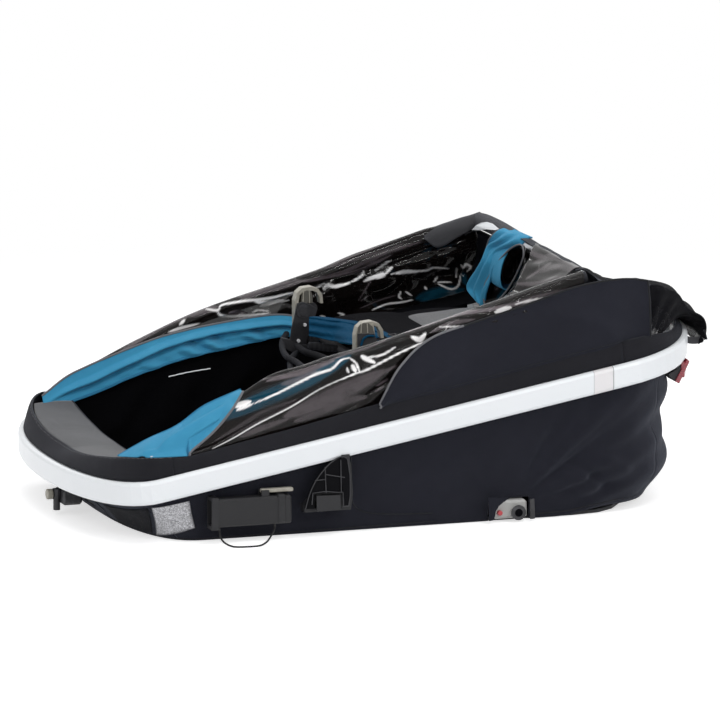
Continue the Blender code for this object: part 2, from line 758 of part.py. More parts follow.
def make_side_bracket():
    outline = [
        (BRACKET_FRONT_X, BRACKET_LOW_Z),
        (BRACKET_REAR_X, BRACKET_LOW_Z),
        (BRACKET_REAR_X + 0.004, BRACKET_LOW_Z + 0.030),
        (BRACKET_REAR_X, BRACKET_HIGH_Z - 0.006),
        (BRACKET_REAR_X - 0.008, BRACKET_HIGH_Z),
        (BRACKET_REAR_X - 0.016, BRACKET_HIGH_Z - 0.002),
        (BRACKET_REAR_X - 0.045, BRACKET_HIGH_Z - 0.034),
        (BRACKET_REAR_X - 0.068, BRACKET_HIGH_Z - 0.062),
        (BRACKET_FRONT_X - 0.002, BRACKET_LOW_Z + 0.012),
    ]
    depth = BRACKET_OUTER_Y - BRACKET_INNER_Y
    middle_y = (BRACKET_OUTER_Y + BRACKET_INNER_Y) / 2
    body = plate("side_bracket", outline, depth, side_plane(-middle_y))
    centre = Vector(((BRACKET_FRONT_X + BRACKET_REAR_X) / 2 + 0.008, 0, 0))
    cells = (
        (-0.034, -0.018, 0.052, 0.076),
        (-0.014, 0.006, 0.080, 0.104),
        (0.010, 0.026, 0.080, 0.120),
    )
    for k, (x0, x1, z0, z1) in enumerate(cells):
        pocket = block(
            f"bracket_pocket_{k}",
            (centre.x + x0, -BRACKET_OUTER_Y - 0.002, z0),
            (centre.x + x1, -BRACKET_INNER_Y - 0.004, z1),
            collection=CUTTERS,
        )
        cut(body, pocket)
    well = block(
        "latch_well",
        (centre.x - 0.0175, -BRACKET_OUTER_Y - 0.002, 0.0505),
        (centre.x + 0.0175, -BRACKET_INNER_Y - 0.003, 0.0765),
        collection=CUTTERS,
    )
    cut(body, well)
    hook_x = BRACKET_REAR_X - 0.020
    hook_y = -RING_HALF_WIDTH - GAP
    hook_low = (hook_x, hook_y - 0.0028, BRACKET_HIGH_Z - 0.016)
    hook_high = (hook_x + 0.015, hook_y, BRACKET_HIGH_Z + 0.010)
    web_high = (hook_x + 0.015, -BRACKET_INNER_Y - 0.002, BRACKET_HIGH_Z - 0.002)
    hook = block("bracket_hook", hook_low, hook_high, collection=CUTTERS)
    web = block("bracket_web", hook_low, web_high, collection=CUTTERS)
    join(body, web, hook)
    finish(body, "black_plastic")
    button = block("bracket_button", (-0.017, -0.0055, -0.0125), (0.017, 0.0055, 0.0125), 0.0015, 1)
    button.location = (centre.x, -BRACKET_OUTER_Y + 0.003, 0.0635)
    finish(button, "black_plastic")


# Front wheel mount under the nose

MOUNT_Z = 0.034
MOUNT_FRONT_X = -0.549
MOUNT_REAR_X = -0.513
MOUNT_PIN_X = -0.5535


def make_front_mount():
    low, high = (MOUNT_FRONT_X, -0.024, MOUNT_Z - 0.014), (MOUNT_REAR_X, 0.024, MOUNT_Z + 0.014)
    body = block("front_mount", low, high, 0.004, 1)
    pin_place = (MOUNT_PIN_X, 0.0, MOUNT_Z - 0.013)
    boss_place = (MOUNT_PIN_X, 0.0, MOUNT_Z + 0.004)
    pin = drum("mount_pin", pin_place, (0, 0, 1), 0.0062, 0.024, 14, collection=CUTTERS)
    boss = drum("mount_boss", boss_place, (0, 0, 1), 0.0078, 0.018, 14, collection=CUTTERS)
    socket = drum("mount_socket", (-0.5300, 0.0, MOUNT_Z), (0, 0, 1), 0.008, 0.060, 16, collection=CUTTERS)
    tube_front = SIDE_TUBE_FRONT_X + 0.02 - TUBE_RADIUS - GAP
    neck_low = (MOUNT_REAR_X - 0.004, -0.012, MOUNT_Z - 0.002)
    neck_high = (tube_front, 0.012, MOUNT_Z + 0.010)
    neck = block("mount_neck", neck_low, neck_high, collection=CUTTERS)
    join(body, boss, pin, neck)
    cut(body, socket)
    finish(body, "black_plastic")
    knob = drum("front_mount_knob", (0, 0, 0), (1, 0, 0), 0.0095, 0.0105, 16, 0.0015)
    knob.location = (MOUNT_PIN_X - 0.0078 - 0.0053 - GAP, 0, MOUNT_Z + 0.004)
    finish(knob, "grey_plastic")


# Reflectors

REFLECTOR_X = 0.534
REFLECTOR_Y = 0.235


def make_reflectors():
    z = ring_bottom(REFLECTOR_X) - 0.015
    for side, name in ((-1, "left"), (1, "right")):
        turn = side * math.radians(24)
        place = (REFLECTOR_X, side * REFLECTOR_Y, z)
        low, high = (-0.0175, -0.016, -0.010), (-0.0035 - GAP, 0.016, 0.0125)
        bracket = block(f"reflector_bracket_{name}", low, high, 0.002, 1, at=place)
        lens_low = (-0.0035, -0.019, -0.018)
        lens_high = (0.0035, 0.019, 0.011)
        lens = block(f"reflector_{name}", lens_low, lens_high, 0.0015, 1, at=place)
        for piece in (bracket, lens):
            piece.rotation_euler = (0, 0, turn)
        finish(bracket, "black_plastic")
        finish(lens, "red_lens")


# Roof frame and its hinges

BRACKET_PLATE_Y = RING_HALF_WIDTH - 0.0275
BRACKET_PLATE = 0.004
PIN_RADIUS = 0.004
PIN_PLAY = 0.0003
EYE_RADIUS = 0.009
EYE_WIDTH = 0.014
HINGE_EYE_Y = RING_HALF_WIDTH - 0.042
BEAM_LINE = (
    (-0.470, 0.150),
    (-0.440, 0.176),
    (-0.390, 0.200),
    (-0.310, 0.237),
    (-0.190, 0.284),
    (-0.020, 0.330),
    (0.150, 0.377),
    (0.260, CROSSBAR_Z - 0.018),
    (CROSSBAR_X, CROSSBAR_Z),
)
BEAM_SIDE_Y = RING_HALF_WIDTH - 0.055


def beam_path():
    """The side beam's middle line in X and Z, on a smooth curve through BEAM_LINE."""
    start = [(ROOF_HINGE_X + 0.006, 0.0, ROOF_HINGE_Z + 0.005)]
    return smooth_path(start + [(x, 0.0, z) for x, z in BEAM_LINE[1:]], 3)


def beam_y(x):
    return mix(HINGE_EYE_Y, BEAM_SIDE_Y, ease((x - ROOF_HINGE_X) / 0.09))


def beam_crest(x):
    """The top of the beam at x, which a steep stretch lifts above its middle line by more than the radius."""
    line = [(p.x, p.z) for p in beam_path()]
    slope = (along(line, x + 0.01) - along(line, x - 0.01)) / 0.02
    return along(line, x) + BEAM_RADIUS * math.sqrt(1 + slope * slope)


def make_roof_frame():
    for side, name in ((-1, "left"), (1, "right")):
        base = block(
            f"roof_bracket_{name}",
            (ROOF_HINGE_X - 0.010, BRACKET_PLATE_Y - BRACKET_PLATE, ROOF_HINGE_Z - 0.057),
            (ROOF_HINGE_X + 0.018, BRACKET_PLATE_Y, ROOF_HINGE_Z + 0.010),
            edge=0.0015,
            segments=1,
        )
        foot_outer = RING_HALF_WIDTH - RING_THICKNESS - GAP
        foot = block(
            f"roof_bracket_foot_{name}",
            (ROOF_HINGE_X + 0.004, BRACKET_PLATE_Y - 0.001, ROOF_HINGE_Z - 0.055),
            (ROOF_HINGE_X + 0.018, foot_outer, ROOF_HINGE_Z - 0.033),
            collection=CUTTERS,
        )
        pin_length = BRACKET_PLATE_Y - HINGE_EYE_Y + EYE_WIDTH / 2 + 0.002
        pin = drum(
            f"roof_pin_{name}",
            (ROOF_HINGE_X, BRACKET_PLATE_Y - pin_length / 2, ROOF_HINGE_Z),
            (0, 1, 0),
            PIN_RADIUS,
            pin_length,
            12,
            collection=CUTTERS,
        )
        join(base, foot, pin)
        finish(base, "steel")
        if side < 0:
            for piece in (base, foot, pin):
                piece.location.y *= -1
        line = [(p.x, side * beam_y(p.x), p.z) for p in beam_path()]
        beam = as_mesh(tube(f"beam_path_{name}", line, BEAM_RADIUS), f"roof_beam_{name}")
        eye_place = (ROOF_HINGE_X, side * HINGE_EYE_Y, ROOF_HINGE_Z)
        eye = drum(f"beam_eye_{name}", eye_place, (0, 1, 0), EYE_RADIUS, EYE_WIDTH, 16, collection=CUTTERS)
        bore = drum(
            f"beam_bore_{name}",
            (ROOF_HINGE_X, side * HINGE_EYE_Y, ROOF_HINGE_Z),
            (0, 1, 0),
            PIN_RADIUS + PIN_PLAY,
            EYE_WIDTH + 0.01,
            12,
            collection=CUTTERS,
        )
        join(beam, eye)
        cut(beam, bore)
        beam.data.shade_smooth()
        finish(beam, "aluminium")
    reach = BEAM_SIDE_Y - BEAM_RADIUS - GAP
    bar = [(CROSSBAR_X, -reach, CROSSBAR_Z), (CROSSBAR_X, reach, CROSSBAR_Z)]
    finish(tube("rear_crossbar", bar, CROSSBAR_RADIUS), "aluminium")


# Cloth and vinyl that the roof frame carries

STRIP_TOP = (
    (-0.452, 0.176), (-0.413, 0.200), (-0.356, 0.226), (-0.285, 0.251),
    (-0.234, 0.262), (-0.167, 0.278), (-0.042, 0.300),
)
STRIP_FOOT = (
    (-0.452, 0.152), (-0.400, 0.156), (-0.3697, 0.162), (-0.2634, 0.196),
    (-0.1384, 0.226), (-0.0712, 0.250), (-0.042, 0.275),
)
STRIP_Y = BEAM_SIDE_Y - 0.0148
PANEL_TOP = (
    (-0.060, 0.232), (-0.042, 0.2615), (-0.017, 0.2975), (0.026, 0.333), (0.056, 0.345),
    (0.181, 0.376), (0.270, 0.400), (0.336, 0.416), (0.377, 0.421), (0.442, 0.419),
)
RIGHT_PANEL_TOP = (*PANEL_TOP[:7], (0.336, 0.4060), (0.377, 0.3860), (0.442, 0.3560))
WINDOW_FRONT_X = -0.446
WINDOW_REAR_X = 0.318
WINDOW_FOOT_Y = RING_HALF_WIDTH - 0.0285
HOOD_FRONT_DROP = 0.040
HOOD_HALF_WIDTH = BEAM_SIDE_Y - 0.018
HOOD_REAR_HALF_WIDTH = BEAM_SIDE_Y - 0.050
POCKET_HALF_WIDTH = BEAM_SIDE_Y + 0.007
POCKET_REAR_HALF_WIDTH = BEAM_SIDE_Y - 0.070
HOOD_LINE = (
    (CROSSBAR_X - 0.008, CROSSBAR_Z + 0.0109),
    (CROSSBAR_X + 0.008, CROSSBAR_Z + 0.0111),
    (CROSSBAR_X + 0.022, CROSSBAR_Z + 0.0075),
    (CROSSBAR_X + 0.050, CROSSBAR_Z - 0.0150),
    (CROSSBAR_X + 0.090, CROSSBAR_Z - 0.0460),
    (CROSSBAR_X + 0.120, CROSSBAR_Z - 0.0640),
    (0.500, 0.3370),
    (0.543, 0.3165),
)
PANEL_Y = RING_HALF_WIDTH - 0.0195


def rim_top(x):
    return ring_top(x) + RIM_SEAT + rim_height(x)


def make_strips():
    """The blue cloth along both sides of the cabin's mouth, hanging from the side beams."""
    steps = 14
    for side, name in ((-1, "left"), (1, "right")):
        rows = []
        for v in (0.0, 0.33, 0.67, 1.0):
            row = []
            for k in range(steps + 1):
                x = mix(STRIP_TOP[0][0], STRIP_TOP[-1][0], k / steps)
                z = mix(along(STRIP_FOOT, x), along(STRIP_TOP, x), v)
                fold = 0.0035 * math.sin(k * 1.9 + 2.2 * v) * math.sin(math.pi * v)
                y = STRIP_Y - 0.010 * (1 - v) - 0.006 * math.sin(math.pi * v) + fold
                row.append((x, side * y, z))
            rows.append(row)
        sheet(f"blue_strip_{name}", rows, CLOTH, "blue_cloth")


def make_windows():
    """The tinted side windows: vinyl from over the beam down to the rim."""
    steps = 16
    for side, name in ((-1, "left"), (1, "right")):
        rows = []
        for k in range(steps + 1):
            x = mix(WINDOW_FRONT_X, WINDOW_REAR_X, k / steps)
            crest = beam_crest(x) + VINYL + 2 * GAP + 0.004 * (1 - ease((x + 0.44) / 0.06))
            middle = beam_y(x)
            foot = max(rim_top(x) - 0.004, 0.0)
            belly = 0.008 * math.sin(k * 1.3)
            row = [
                (x, side * (middle - 0.0125), crest - 0.013),
                (x, side * (middle - 0.0075), crest - 0.0010),
                (x, side * (middle + 0.0055), crest),
                (x, side * (middle + 0.0125), crest - 0.009),
                (
                    x,
                    side * mix(middle + 0.0125, WINDOW_FOOT_Y, 0.35),
                    mix(crest - 0.009, foot, 0.35) + belly * 0.5,
                ),
                (x, side * (mix(middle + 0.0125, WINDOW_FOOT_Y, 0.7) - 0.003), mix(crest - 0.009, foot, 0.7)),
                (x, side * WINDOW_FOOT_Y, min(foot, crest - 0.016)),
            ]
            rows.append(row)
        sheet(f"side_window_{name}", rows, VINYL, "tinted_vinyl")


def make_side_panels():
    """The black rear side panels outside the windows, from the rim up to the roof's edge."""
    steps = 14
    for side, name in ((-1, "left"), (1, "right")):
        rows = []
        for v in (0.0, 0.25, 0.5, 0.75, 1.0):
            row = []
            for k in range(steps + 1):
                x = mix(PANEL_TOP[0][0], 0.442, (k / steps) ** 1.15)
                low = rim_top(x) + CLOTH / 2 + GAP + 0.0020 * ease((x - 0.38) / 0.03)
                high = max(along(RIGHT_PANEL_TOP if side > 0 else PANEL_TOP, x), low + 0.004)
                lean = 0.0125 * v * v * ease((x + 0.06) / 0.25)
                tail = 0.010 * ease((x - 0.36) / 0.08)
                belly = 0.005 * math.sin(math.pi * v) * (1 - ease((x - 0.3) / 0.12))
                row.append((x, side * (PANEL_Y - lean - tail + belly), mix(low, high, v)))
            rows.append(row)
        sheet(f"side_panel_{name}", rows, CLOTH, "black_cloth")


POCKET_LINE = (
    (CROSSBAR_X + 0.1160, CROSSBAR_Z - 0.0620),
    (CROSSBAR_X + 0.1500, CROSSBAR_Z - 0.0690),
    (CROSSBAR_X + 0.2000, CROSSBAR_Z - 0.0880),
    (CROSSBAR_X + 0.2360, CROSSBAR_Z - 0.0970),
    (CROSSBAR_X + 0.2540, CROSSBAR_Z - 0.1025),
    (CROSSBAR_X + 0.2605, CROSSBAR_Z - 0.1080),
)
POCKET_LIFT = 0.052


def pocket_lift(x, y):
    """How much higher the mesh pocket hangs beside the left side panel."""
    return POCKET_LIFT * ease((-y - 0.05) / 0.20) * (1 - ease((x - 0.46) / 0.13))


def hood_sag(x, across):
    """How far the hood sinks between its sides, behind the crossbar."""
    return 0.006 * (1 - across * across) * ease((x - 0.345) / 0.05)


def make_hood():
    """The black hood: its slack front edge, over the crossbar, then back and down into the ring's rear.
    Behind it hangs the mesh pocket."""
    inset = 0.037
    half_tail = RING_HALF_WIDTH - inset
    front_x = CROSSBAR_X - CROSSBAR_RADIUS - CLOTH / 2 - 2 * GAP - 0.0005
    rows = []
    for v in (1.0, 0.65, 0.3, 0.0):
        row = []
        for k in range(-6, 7):
            y = HOOD_HALF_WIDTH * k / 6
            drop = HOOD_FRONT_DROP * (1 - ease((y - 0.03) / 0.04)) + 0.002
            front = front_x - 0.016 * v * drop / HOOD_FRONT_DROP
            sag = 0.003 * abs(k / 6) ** 3
            row.append((front, y, CROSSBAR_Z + 0.0050 - drop * v - sag))
        rows.append(row)
    for x, z in HOOD_LINE:
        back = ease((x - 0.40) / 0.15)
        half = mix(HOOD_HALF_WIDTH, HOOD_REAR_HALF_WIDTH, back)
        row = []
        for k in range(-6, 7):
            y = half * k / 6
            round_share = (1 - (abs(y) / half_tail) ** RING_TAIL_POWER) ** 0.4
            tail_x = RING_TAIL_X + (RING_TAIL_DEPTH - inset) * round_share
            row.append((mix(x, min(x, tail_x), back), y, z - hood_sag(x, k / 6)))
        rows.append(row)
    sheet("rear_hood", rows, CLOTH, "black_cloth")
    seat = CLOTH / 2 + WEB / 2 + 4 * GAP
    x = POCKET_LINE[0][0]
    top = along(HOOD_LINE, x) + seat
    places = [BEAM_SIDE_Y * k / 7 for k in range(-7, 8)]
    rows = [[]]
    for y in places:
        sag = hood_sag(x, min(abs(y) / HOOD_HALF_WIDTH, 1.0))
        rows[0].append((x, y, top - sag + pocket_lift(x, y)))
    for x, z in POCKET_LINE[1:]:
        half = mix(POCKET_HALF_WIDTH, POCKET_REAR_HALF_WIDTH, ease((x - 0.44) / 0.15) ** 1.2)
        row = []
        for k in range(-7, 8):
            across = k / 7
            y = half * across
            corner = abs(across) ** 4
            back = 0.028 * corner * ease((x - 0.46) / 0.12)
            dip = 0.003 * corner * (1 - ease((x - 0.5) / 0.09))
            row.append((x - back, y, z - dip + pocket_lift(x, y) + 0.003 * math.sin(9 * across)))
        rows.append(row)
    sheet("mesh_pocket", rows, WEB, "mesh_cloth")


ROLL_HALF_DEPTH = 0.019
ROLL_HALF_HEIGHT = 0.040


def make_front_cover():
    """The cabin's front cover, rolled up under the crossbar."""
    roll = drum("rolled_cover", (0, 0, 0), (0, 1, 0), 1.0, 0.150, 24)
    for vertex in roll.data.vertices:
        vertex.co.x *= ROLL_HALF_DEPTH
        vertex.co.z *= ROLL_HALF_HEIGHT
    roll.location = (CROSSBAR_X - 0.0339, 0.140, CROSSBAR_Z - 0.0490)
    roll.rotation_euler = (0, math.radians(14), 0)
    finish(roll, "blue_cloth")


# Seat-back uprights and claws

SLEEVE_RADIUS = 0.0135
SLEEVE_WIDTH = 0.024
HINGE_TUBE_RADIUS = 0.009
HINGE_TUBE_END_Y = RING_HALF_WIDTH - 0.0259
CLAW_PIVOT_X = -0.034
CLAW_PIN_RADIUS = 0.003
ARM_WIDTH = 0.016


def make_uprights():
    end = HINGE_TUBE_END_Y
    axis_bar = [(UPRIGHT_HINGE_X, -end, UPRIGHT_HINGE_Z), (UPRIGHT_HINGE_X, end, UPRIGHT_HINGE_Z)]
    finish(tube("hinge_tube", axis_bar, HINGE_TUBE_RADIUS), "aluminium")
    half = [
        (UPRIGHT_HINGE_X - 0.008, UPRIGHT_HINGE_Y, UPRIGHT_HINGE_Z),
        (0.300, UPRIGHT_HINGE_Y - 0.002, 0.259),
        (0.080, UPRIGHT_HINGE_Y - 0.012, UPRIGHT_FRONT_Z),
        (0.020, UPRIGHT_HINGE_Y - 0.020, UPRIGHT_FRONT_Z),
        (-0.002, UPRIGHT_HINGE_Y - 0.033, UPRIGHT_FRONT_Z),
        (UPRIGHT_FRONT_X, UPRIGHT_HINGE_Y - 0.055, UPRIGHT_FRONT_Z),
    ]
    route = half + [(x, -y, z) for x, y, z in reversed(half)]
    hoop = as_mesh(tube("hoop_path", route, UPRIGHT_RADIUS), "upright_hoop")
    for side, name in ((-1, "left"), (1, "right")):
        place = (UPRIGHT_HINGE_X, side * UPRIGHT_HINGE_Y, UPRIGHT_HINGE_Z)
        label = f"upright_sleeve_{name}"
        sleeve = drum(label, place, (0, 1, 0), SLEEVE_RADIUS, SLEEVE_WIDTH, 18, collection=CUTTERS)
        join(hoop, sleeve)
    for side, name in ((-1, "left"), (1, "right")):
        place = (UPRIGHT_HINGE_X, side * UPRIGHT_HINGE_Y, UPRIGHT_HINGE_Z)
        label = f"upright_bore_{name}"
        bore_radius = HINGE_TUBE_RADIUS + PIN_PLAY
        bore = drum(label, place, (0, 1, 0), bore_radius, SLEEVE_WIDTH + 0.01, 18, collection=CUTTERS)
        cut(hoop, bore)
    finish(hoop, "black_plastic")


CLAW_OUTER = (
    (-0.0580, 0.2640),
    (-0.0580, 0.3240),
    (-0.0540, 0.3385),
    (-0.0440, 0.3465),
    (-0.0270, 0.3480),
    (-0.0140, 0.3430),
    (-0.0070, 0.3320),
    (-0.0055, 0.3170),
)
CLAW_WALL = 0.0065


def claw_outline():
    """The inverted J: down the outer side and back up the inner one, a wall's thickness in."""
    middle = Vector((-0.0320, 0.3150))
    inner = []
    for k, (x, z) in enumerate(CLAW_OUTER):
        if k == 0:
            inner.append((x + CLAW_WALL * 0.6, z))
        elif k == len(CLAW_OUTER) - 1:
            inner.append((x - CLAW_WALL * 0.8, z))
        else:
            toward = (middle - Vector((x, z))).normalized()
            if k == 1:
                toward = Vector((1, -0.1))
            inner.append((x + toward.x * CLAW_WALL, z + toward.y * CLAW_WALL))
    return list(CLAW_OUTER) + list(reversed(inner))


def make_claws():
    for side, name in ((-1, "left"), (1, "right")):
        y = side * CLAW_Y
        arm = block(
            f"claw_arm_{name}",
            (CLAW_PIVOT_X - 0.0065, y - ARM_WIDTH / 2, UPRIGHT_FRONT_Z - 0.012),
            (CLAW_PIVOT_X + 0.0065, y + ARM_WIDTH / 2, 0.318),
            edge=0.002,
            segments=1,
        )
        saddle = block(
            f"arm_saddle_{name}",
            (CLAW_PIVOT_X, min(side * 0.146, side * 0.172), UPRIGHT_FRONT_Z - 0.010),
            (
                UPRIGHT_FRONT_X - UPRIGHT_RADIUS - GAP,
                max(side * 0.146, side * 0.172),
                UPRIGHT_FRONT_Z + 0.008,
            ),
            collection=CUTTERS,
        )
        lever_place = (CLAW_PIVOT_X + 0.008, y, 0.309)
        lever_width = ARM_WIDTH - 0.002
        lever = drum(f"arm_lever_{name}", lever_place, (0, 1, 0), 0.0105, lever_width, 18, collection=CUTTERS)
        bore = drum(
            f"arm_bore_{name}",
            (CLAW_PIVOT_X, y, CLAW_PIVOT_Z),
            (0, 1, 0),
            CLAW_PIN_RADIUS + PIN_PLAY,
            ARM_WIDTH + 0.01,
            12,
            collection=CUTTERS,
        )
        join(arm, saddle, lever)
        for k, z in enumerate((0.262, 0.282)):
            label = f"arm_screw_{name}_{k}"
            screw_place = (CLAW_PIVOT_X + 0.001, y - ARM_WIDTH / 2, z)
            screw = drum(label, screw_place, (0, 1, 0), 0.0028, 0.0024, 10, collection=CUTTERS)
            join(arm, screw)
        cut(arm, bore)
        finish(arm, "black_plastic")
        claw = plate(f"claw_{name}", claw_outline(), CLAW_WIDTH, side_plane(y))
        cheek_y = y + side * (ARM_WIDTH / 2 + 0.0004 + 0.0015)
        cheek = plate(
            f"claw_cheek_{name}",
            [(-0.0570, 0.2880), (-0.0240, 0.2900), (-0.0210, 0.3080), (-0.0250, 0.3440), (-0.0540, 0.3350)],
            0.0030,
            side_plane(cheek_y),
            CUTTERS,
        )
        pin_place = (CLAW_PIVOT_X, y + side * 0.001, CLAW_PIVOT_Z)
        pin = drum(f"claw_pin_{name}", pin_place, (0, 1, 0), CLAW_PIN_RADIUS, 0.0195, 12, collection=CUTTERS)
        join(claw, cheek, pin)
        finish(claw, "grey_plastic")


# Seat

SEAT_CROWN = 0.012
SEAT_THICKNESS = 0.055
SEAT_HALF_WIDTH = 0.215
BACK_THICKNESS = 0.028
BACK_HALF_WIDTH = 0.160


def cushion(name, low, high, crown, channels, colour, cuts=9):
    """A padded form: crowned on top, drawn in between its corners, with sewn channels across it."""
    bm = bmesh.new()
    bmesh.ops.create_cube(bm, size=2.0)
    bmesh.ops.subdivide_edges(bm, edges=list(bm.edges), cuts=cuts, use_grid_fill=True)
    size = (Vector(high) - Vector(low)) / 2
    middle = (Vector(high) + Vector(low)) / 2
    for vertex in bm.verts:
        u, w, t = vertex.co
        edge = (1 - abs(u) ** 4) * (1 - abs(w) ** 4)
        seam = 0.5 - 0.5 * math.cos(math.pi * channels * (u + 1))
        z = t * size.z
        if t > -0.9:
            z += crown * edge * (0.45 + 0.55 * seam) * (t + 1) / 2
        draw = 0.02 * (1 - u * u), 0.02 * (1 - w * w)
        pinch = 1 - t * t
        across = u * size.x * (1 - draw[1] * pinch * 2)
        along = w * size.y * (1 - draw[0] * pinch)
        vertex.co = Vector((across, along, z))
    obj = mesh_object(name, bm)
    obj.location = middle
    obj.data.shade_smooth()
    return finish(obj, colour)


def make_seat():
    seat_low = socket_z() + AXLE_RADIUS + GAP
    seat_high = seat_low + SEAT_THICKNESS
    half = SEAT_HALF_WIDTH
    cushion("seat_base", (-0.020, -half, seat_low), (0.330, half, seat_high), SEAT_CROWN, 3, "black_cloth")
    back_low = UPRIGHT_FRONT_Z + UPRIGHT_RADIUS + GAP
    back_high = back_low + BACK_THICKNESS
    half = BACK_HALF_WIDTH
    cushion("seat_back", (-0.0150, -half, back_low), (0.400, half, back_high), SEAT_CROWN, 3, "grey_cloth")
    straps = block("harness_straps", (0.060, -0.075, back_low - GAP - WEB), (0.340, -0.050, back_low - GAP))
    web_high = back_low - GAP
    web_low = web_high - WEB
    other = block("strap_right", (0.060, 0.050, web_low), (0.340, 0.075, web_high), collection=CUTTERS)
    yoke = block("strap_yoke", (0.150, -0.060, web_low), (0.176, 0.060, web_high), collection=CUTTERS)
    finish(join(straps, other, yoke), "black_cloth")
    buckle_x = 0.050
    seat_top = seat_high + SEAT_CROWN
    buckle = block(
        "harness_buckle",
        (buckle_x - 0.024, -0.020, seat_top - 0.0014),
        (buckle_x + 0.024, 0.020, seat_top + 0.015),
        0.004,
        1,
    )
    finish(buckle, "black_plastic")


# Joints

ROOF_NODES = (
    "roof_beam_left",
    "roof_beam_right",
    "rear_crossbar",
    "blue_strip_left",
    "blue_strip_right",
    "side_window_left",
    "side_window_right",
    "side_panel_left",
    "side_panel_right",
    "rear_hood",
    "mesh_pocket",
    "rolled_cover",
)
UPRIGHT_NODES = ("upright_hoop", "claw_arm_left", "claw_arm_right", "seat_back", "harness_straps")


def put_origin(names, point):
    """Moves the objects' origins onto their joint's axis, and leaves their shapes in place."""
    bpy.context.view_layer.update()
    for name in names:
        obj = bpy.data.objects[name]
        shift = obj.matrix_world.inverted() @ Vector(point)
        obj.data.transform(Matrix.Translation(-shift))
        obj.location = point


def main():
    clear_scene()
    new_collection(COLLECTION)
    new_collection(CUTTERS)
    make_ring()
    make_skirts()
    make_floor()
    make_rim()
    make_nose_panel()
    make_lower_frame()
    make_wheel_sockets()
    make_tow_receptacle()
    make_lanyard()
    make_side_bracket()
    make_front_mount()
    make_reflectors()
    make_roof_frame()
    make_strips()
    make_windows()
    make_side_panels()
    make_hood()
    make_front_cover()
    make_uprights()
    make_claws()
    make_seat()
    put_origin(ROOF_NODES, (ROOF_HINGE_X, 0, ROOF_HINGE_Z))
    put_origin(UPRIGHT_NODES, (UPRIGHT_HINGE_X, 0, UPRIGHT_HINGE_Z))
    put_origin(("claw_left",), (CLAW_PIVOT_X, -CLAW_Y, CLAW_PIVOT_Z))
    put_origin(("claw_right",), (CLAW_PIVOT_X, CLAW_Y, CLAW_PIVOT_Z))


main()
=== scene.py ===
# Child bike trailer, folded flat for storage: finishes, cloth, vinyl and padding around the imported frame.
# The nose points to -X, the tow arm's side is -Y and the floor is at Z 0. Metres throughout.

import json
import math

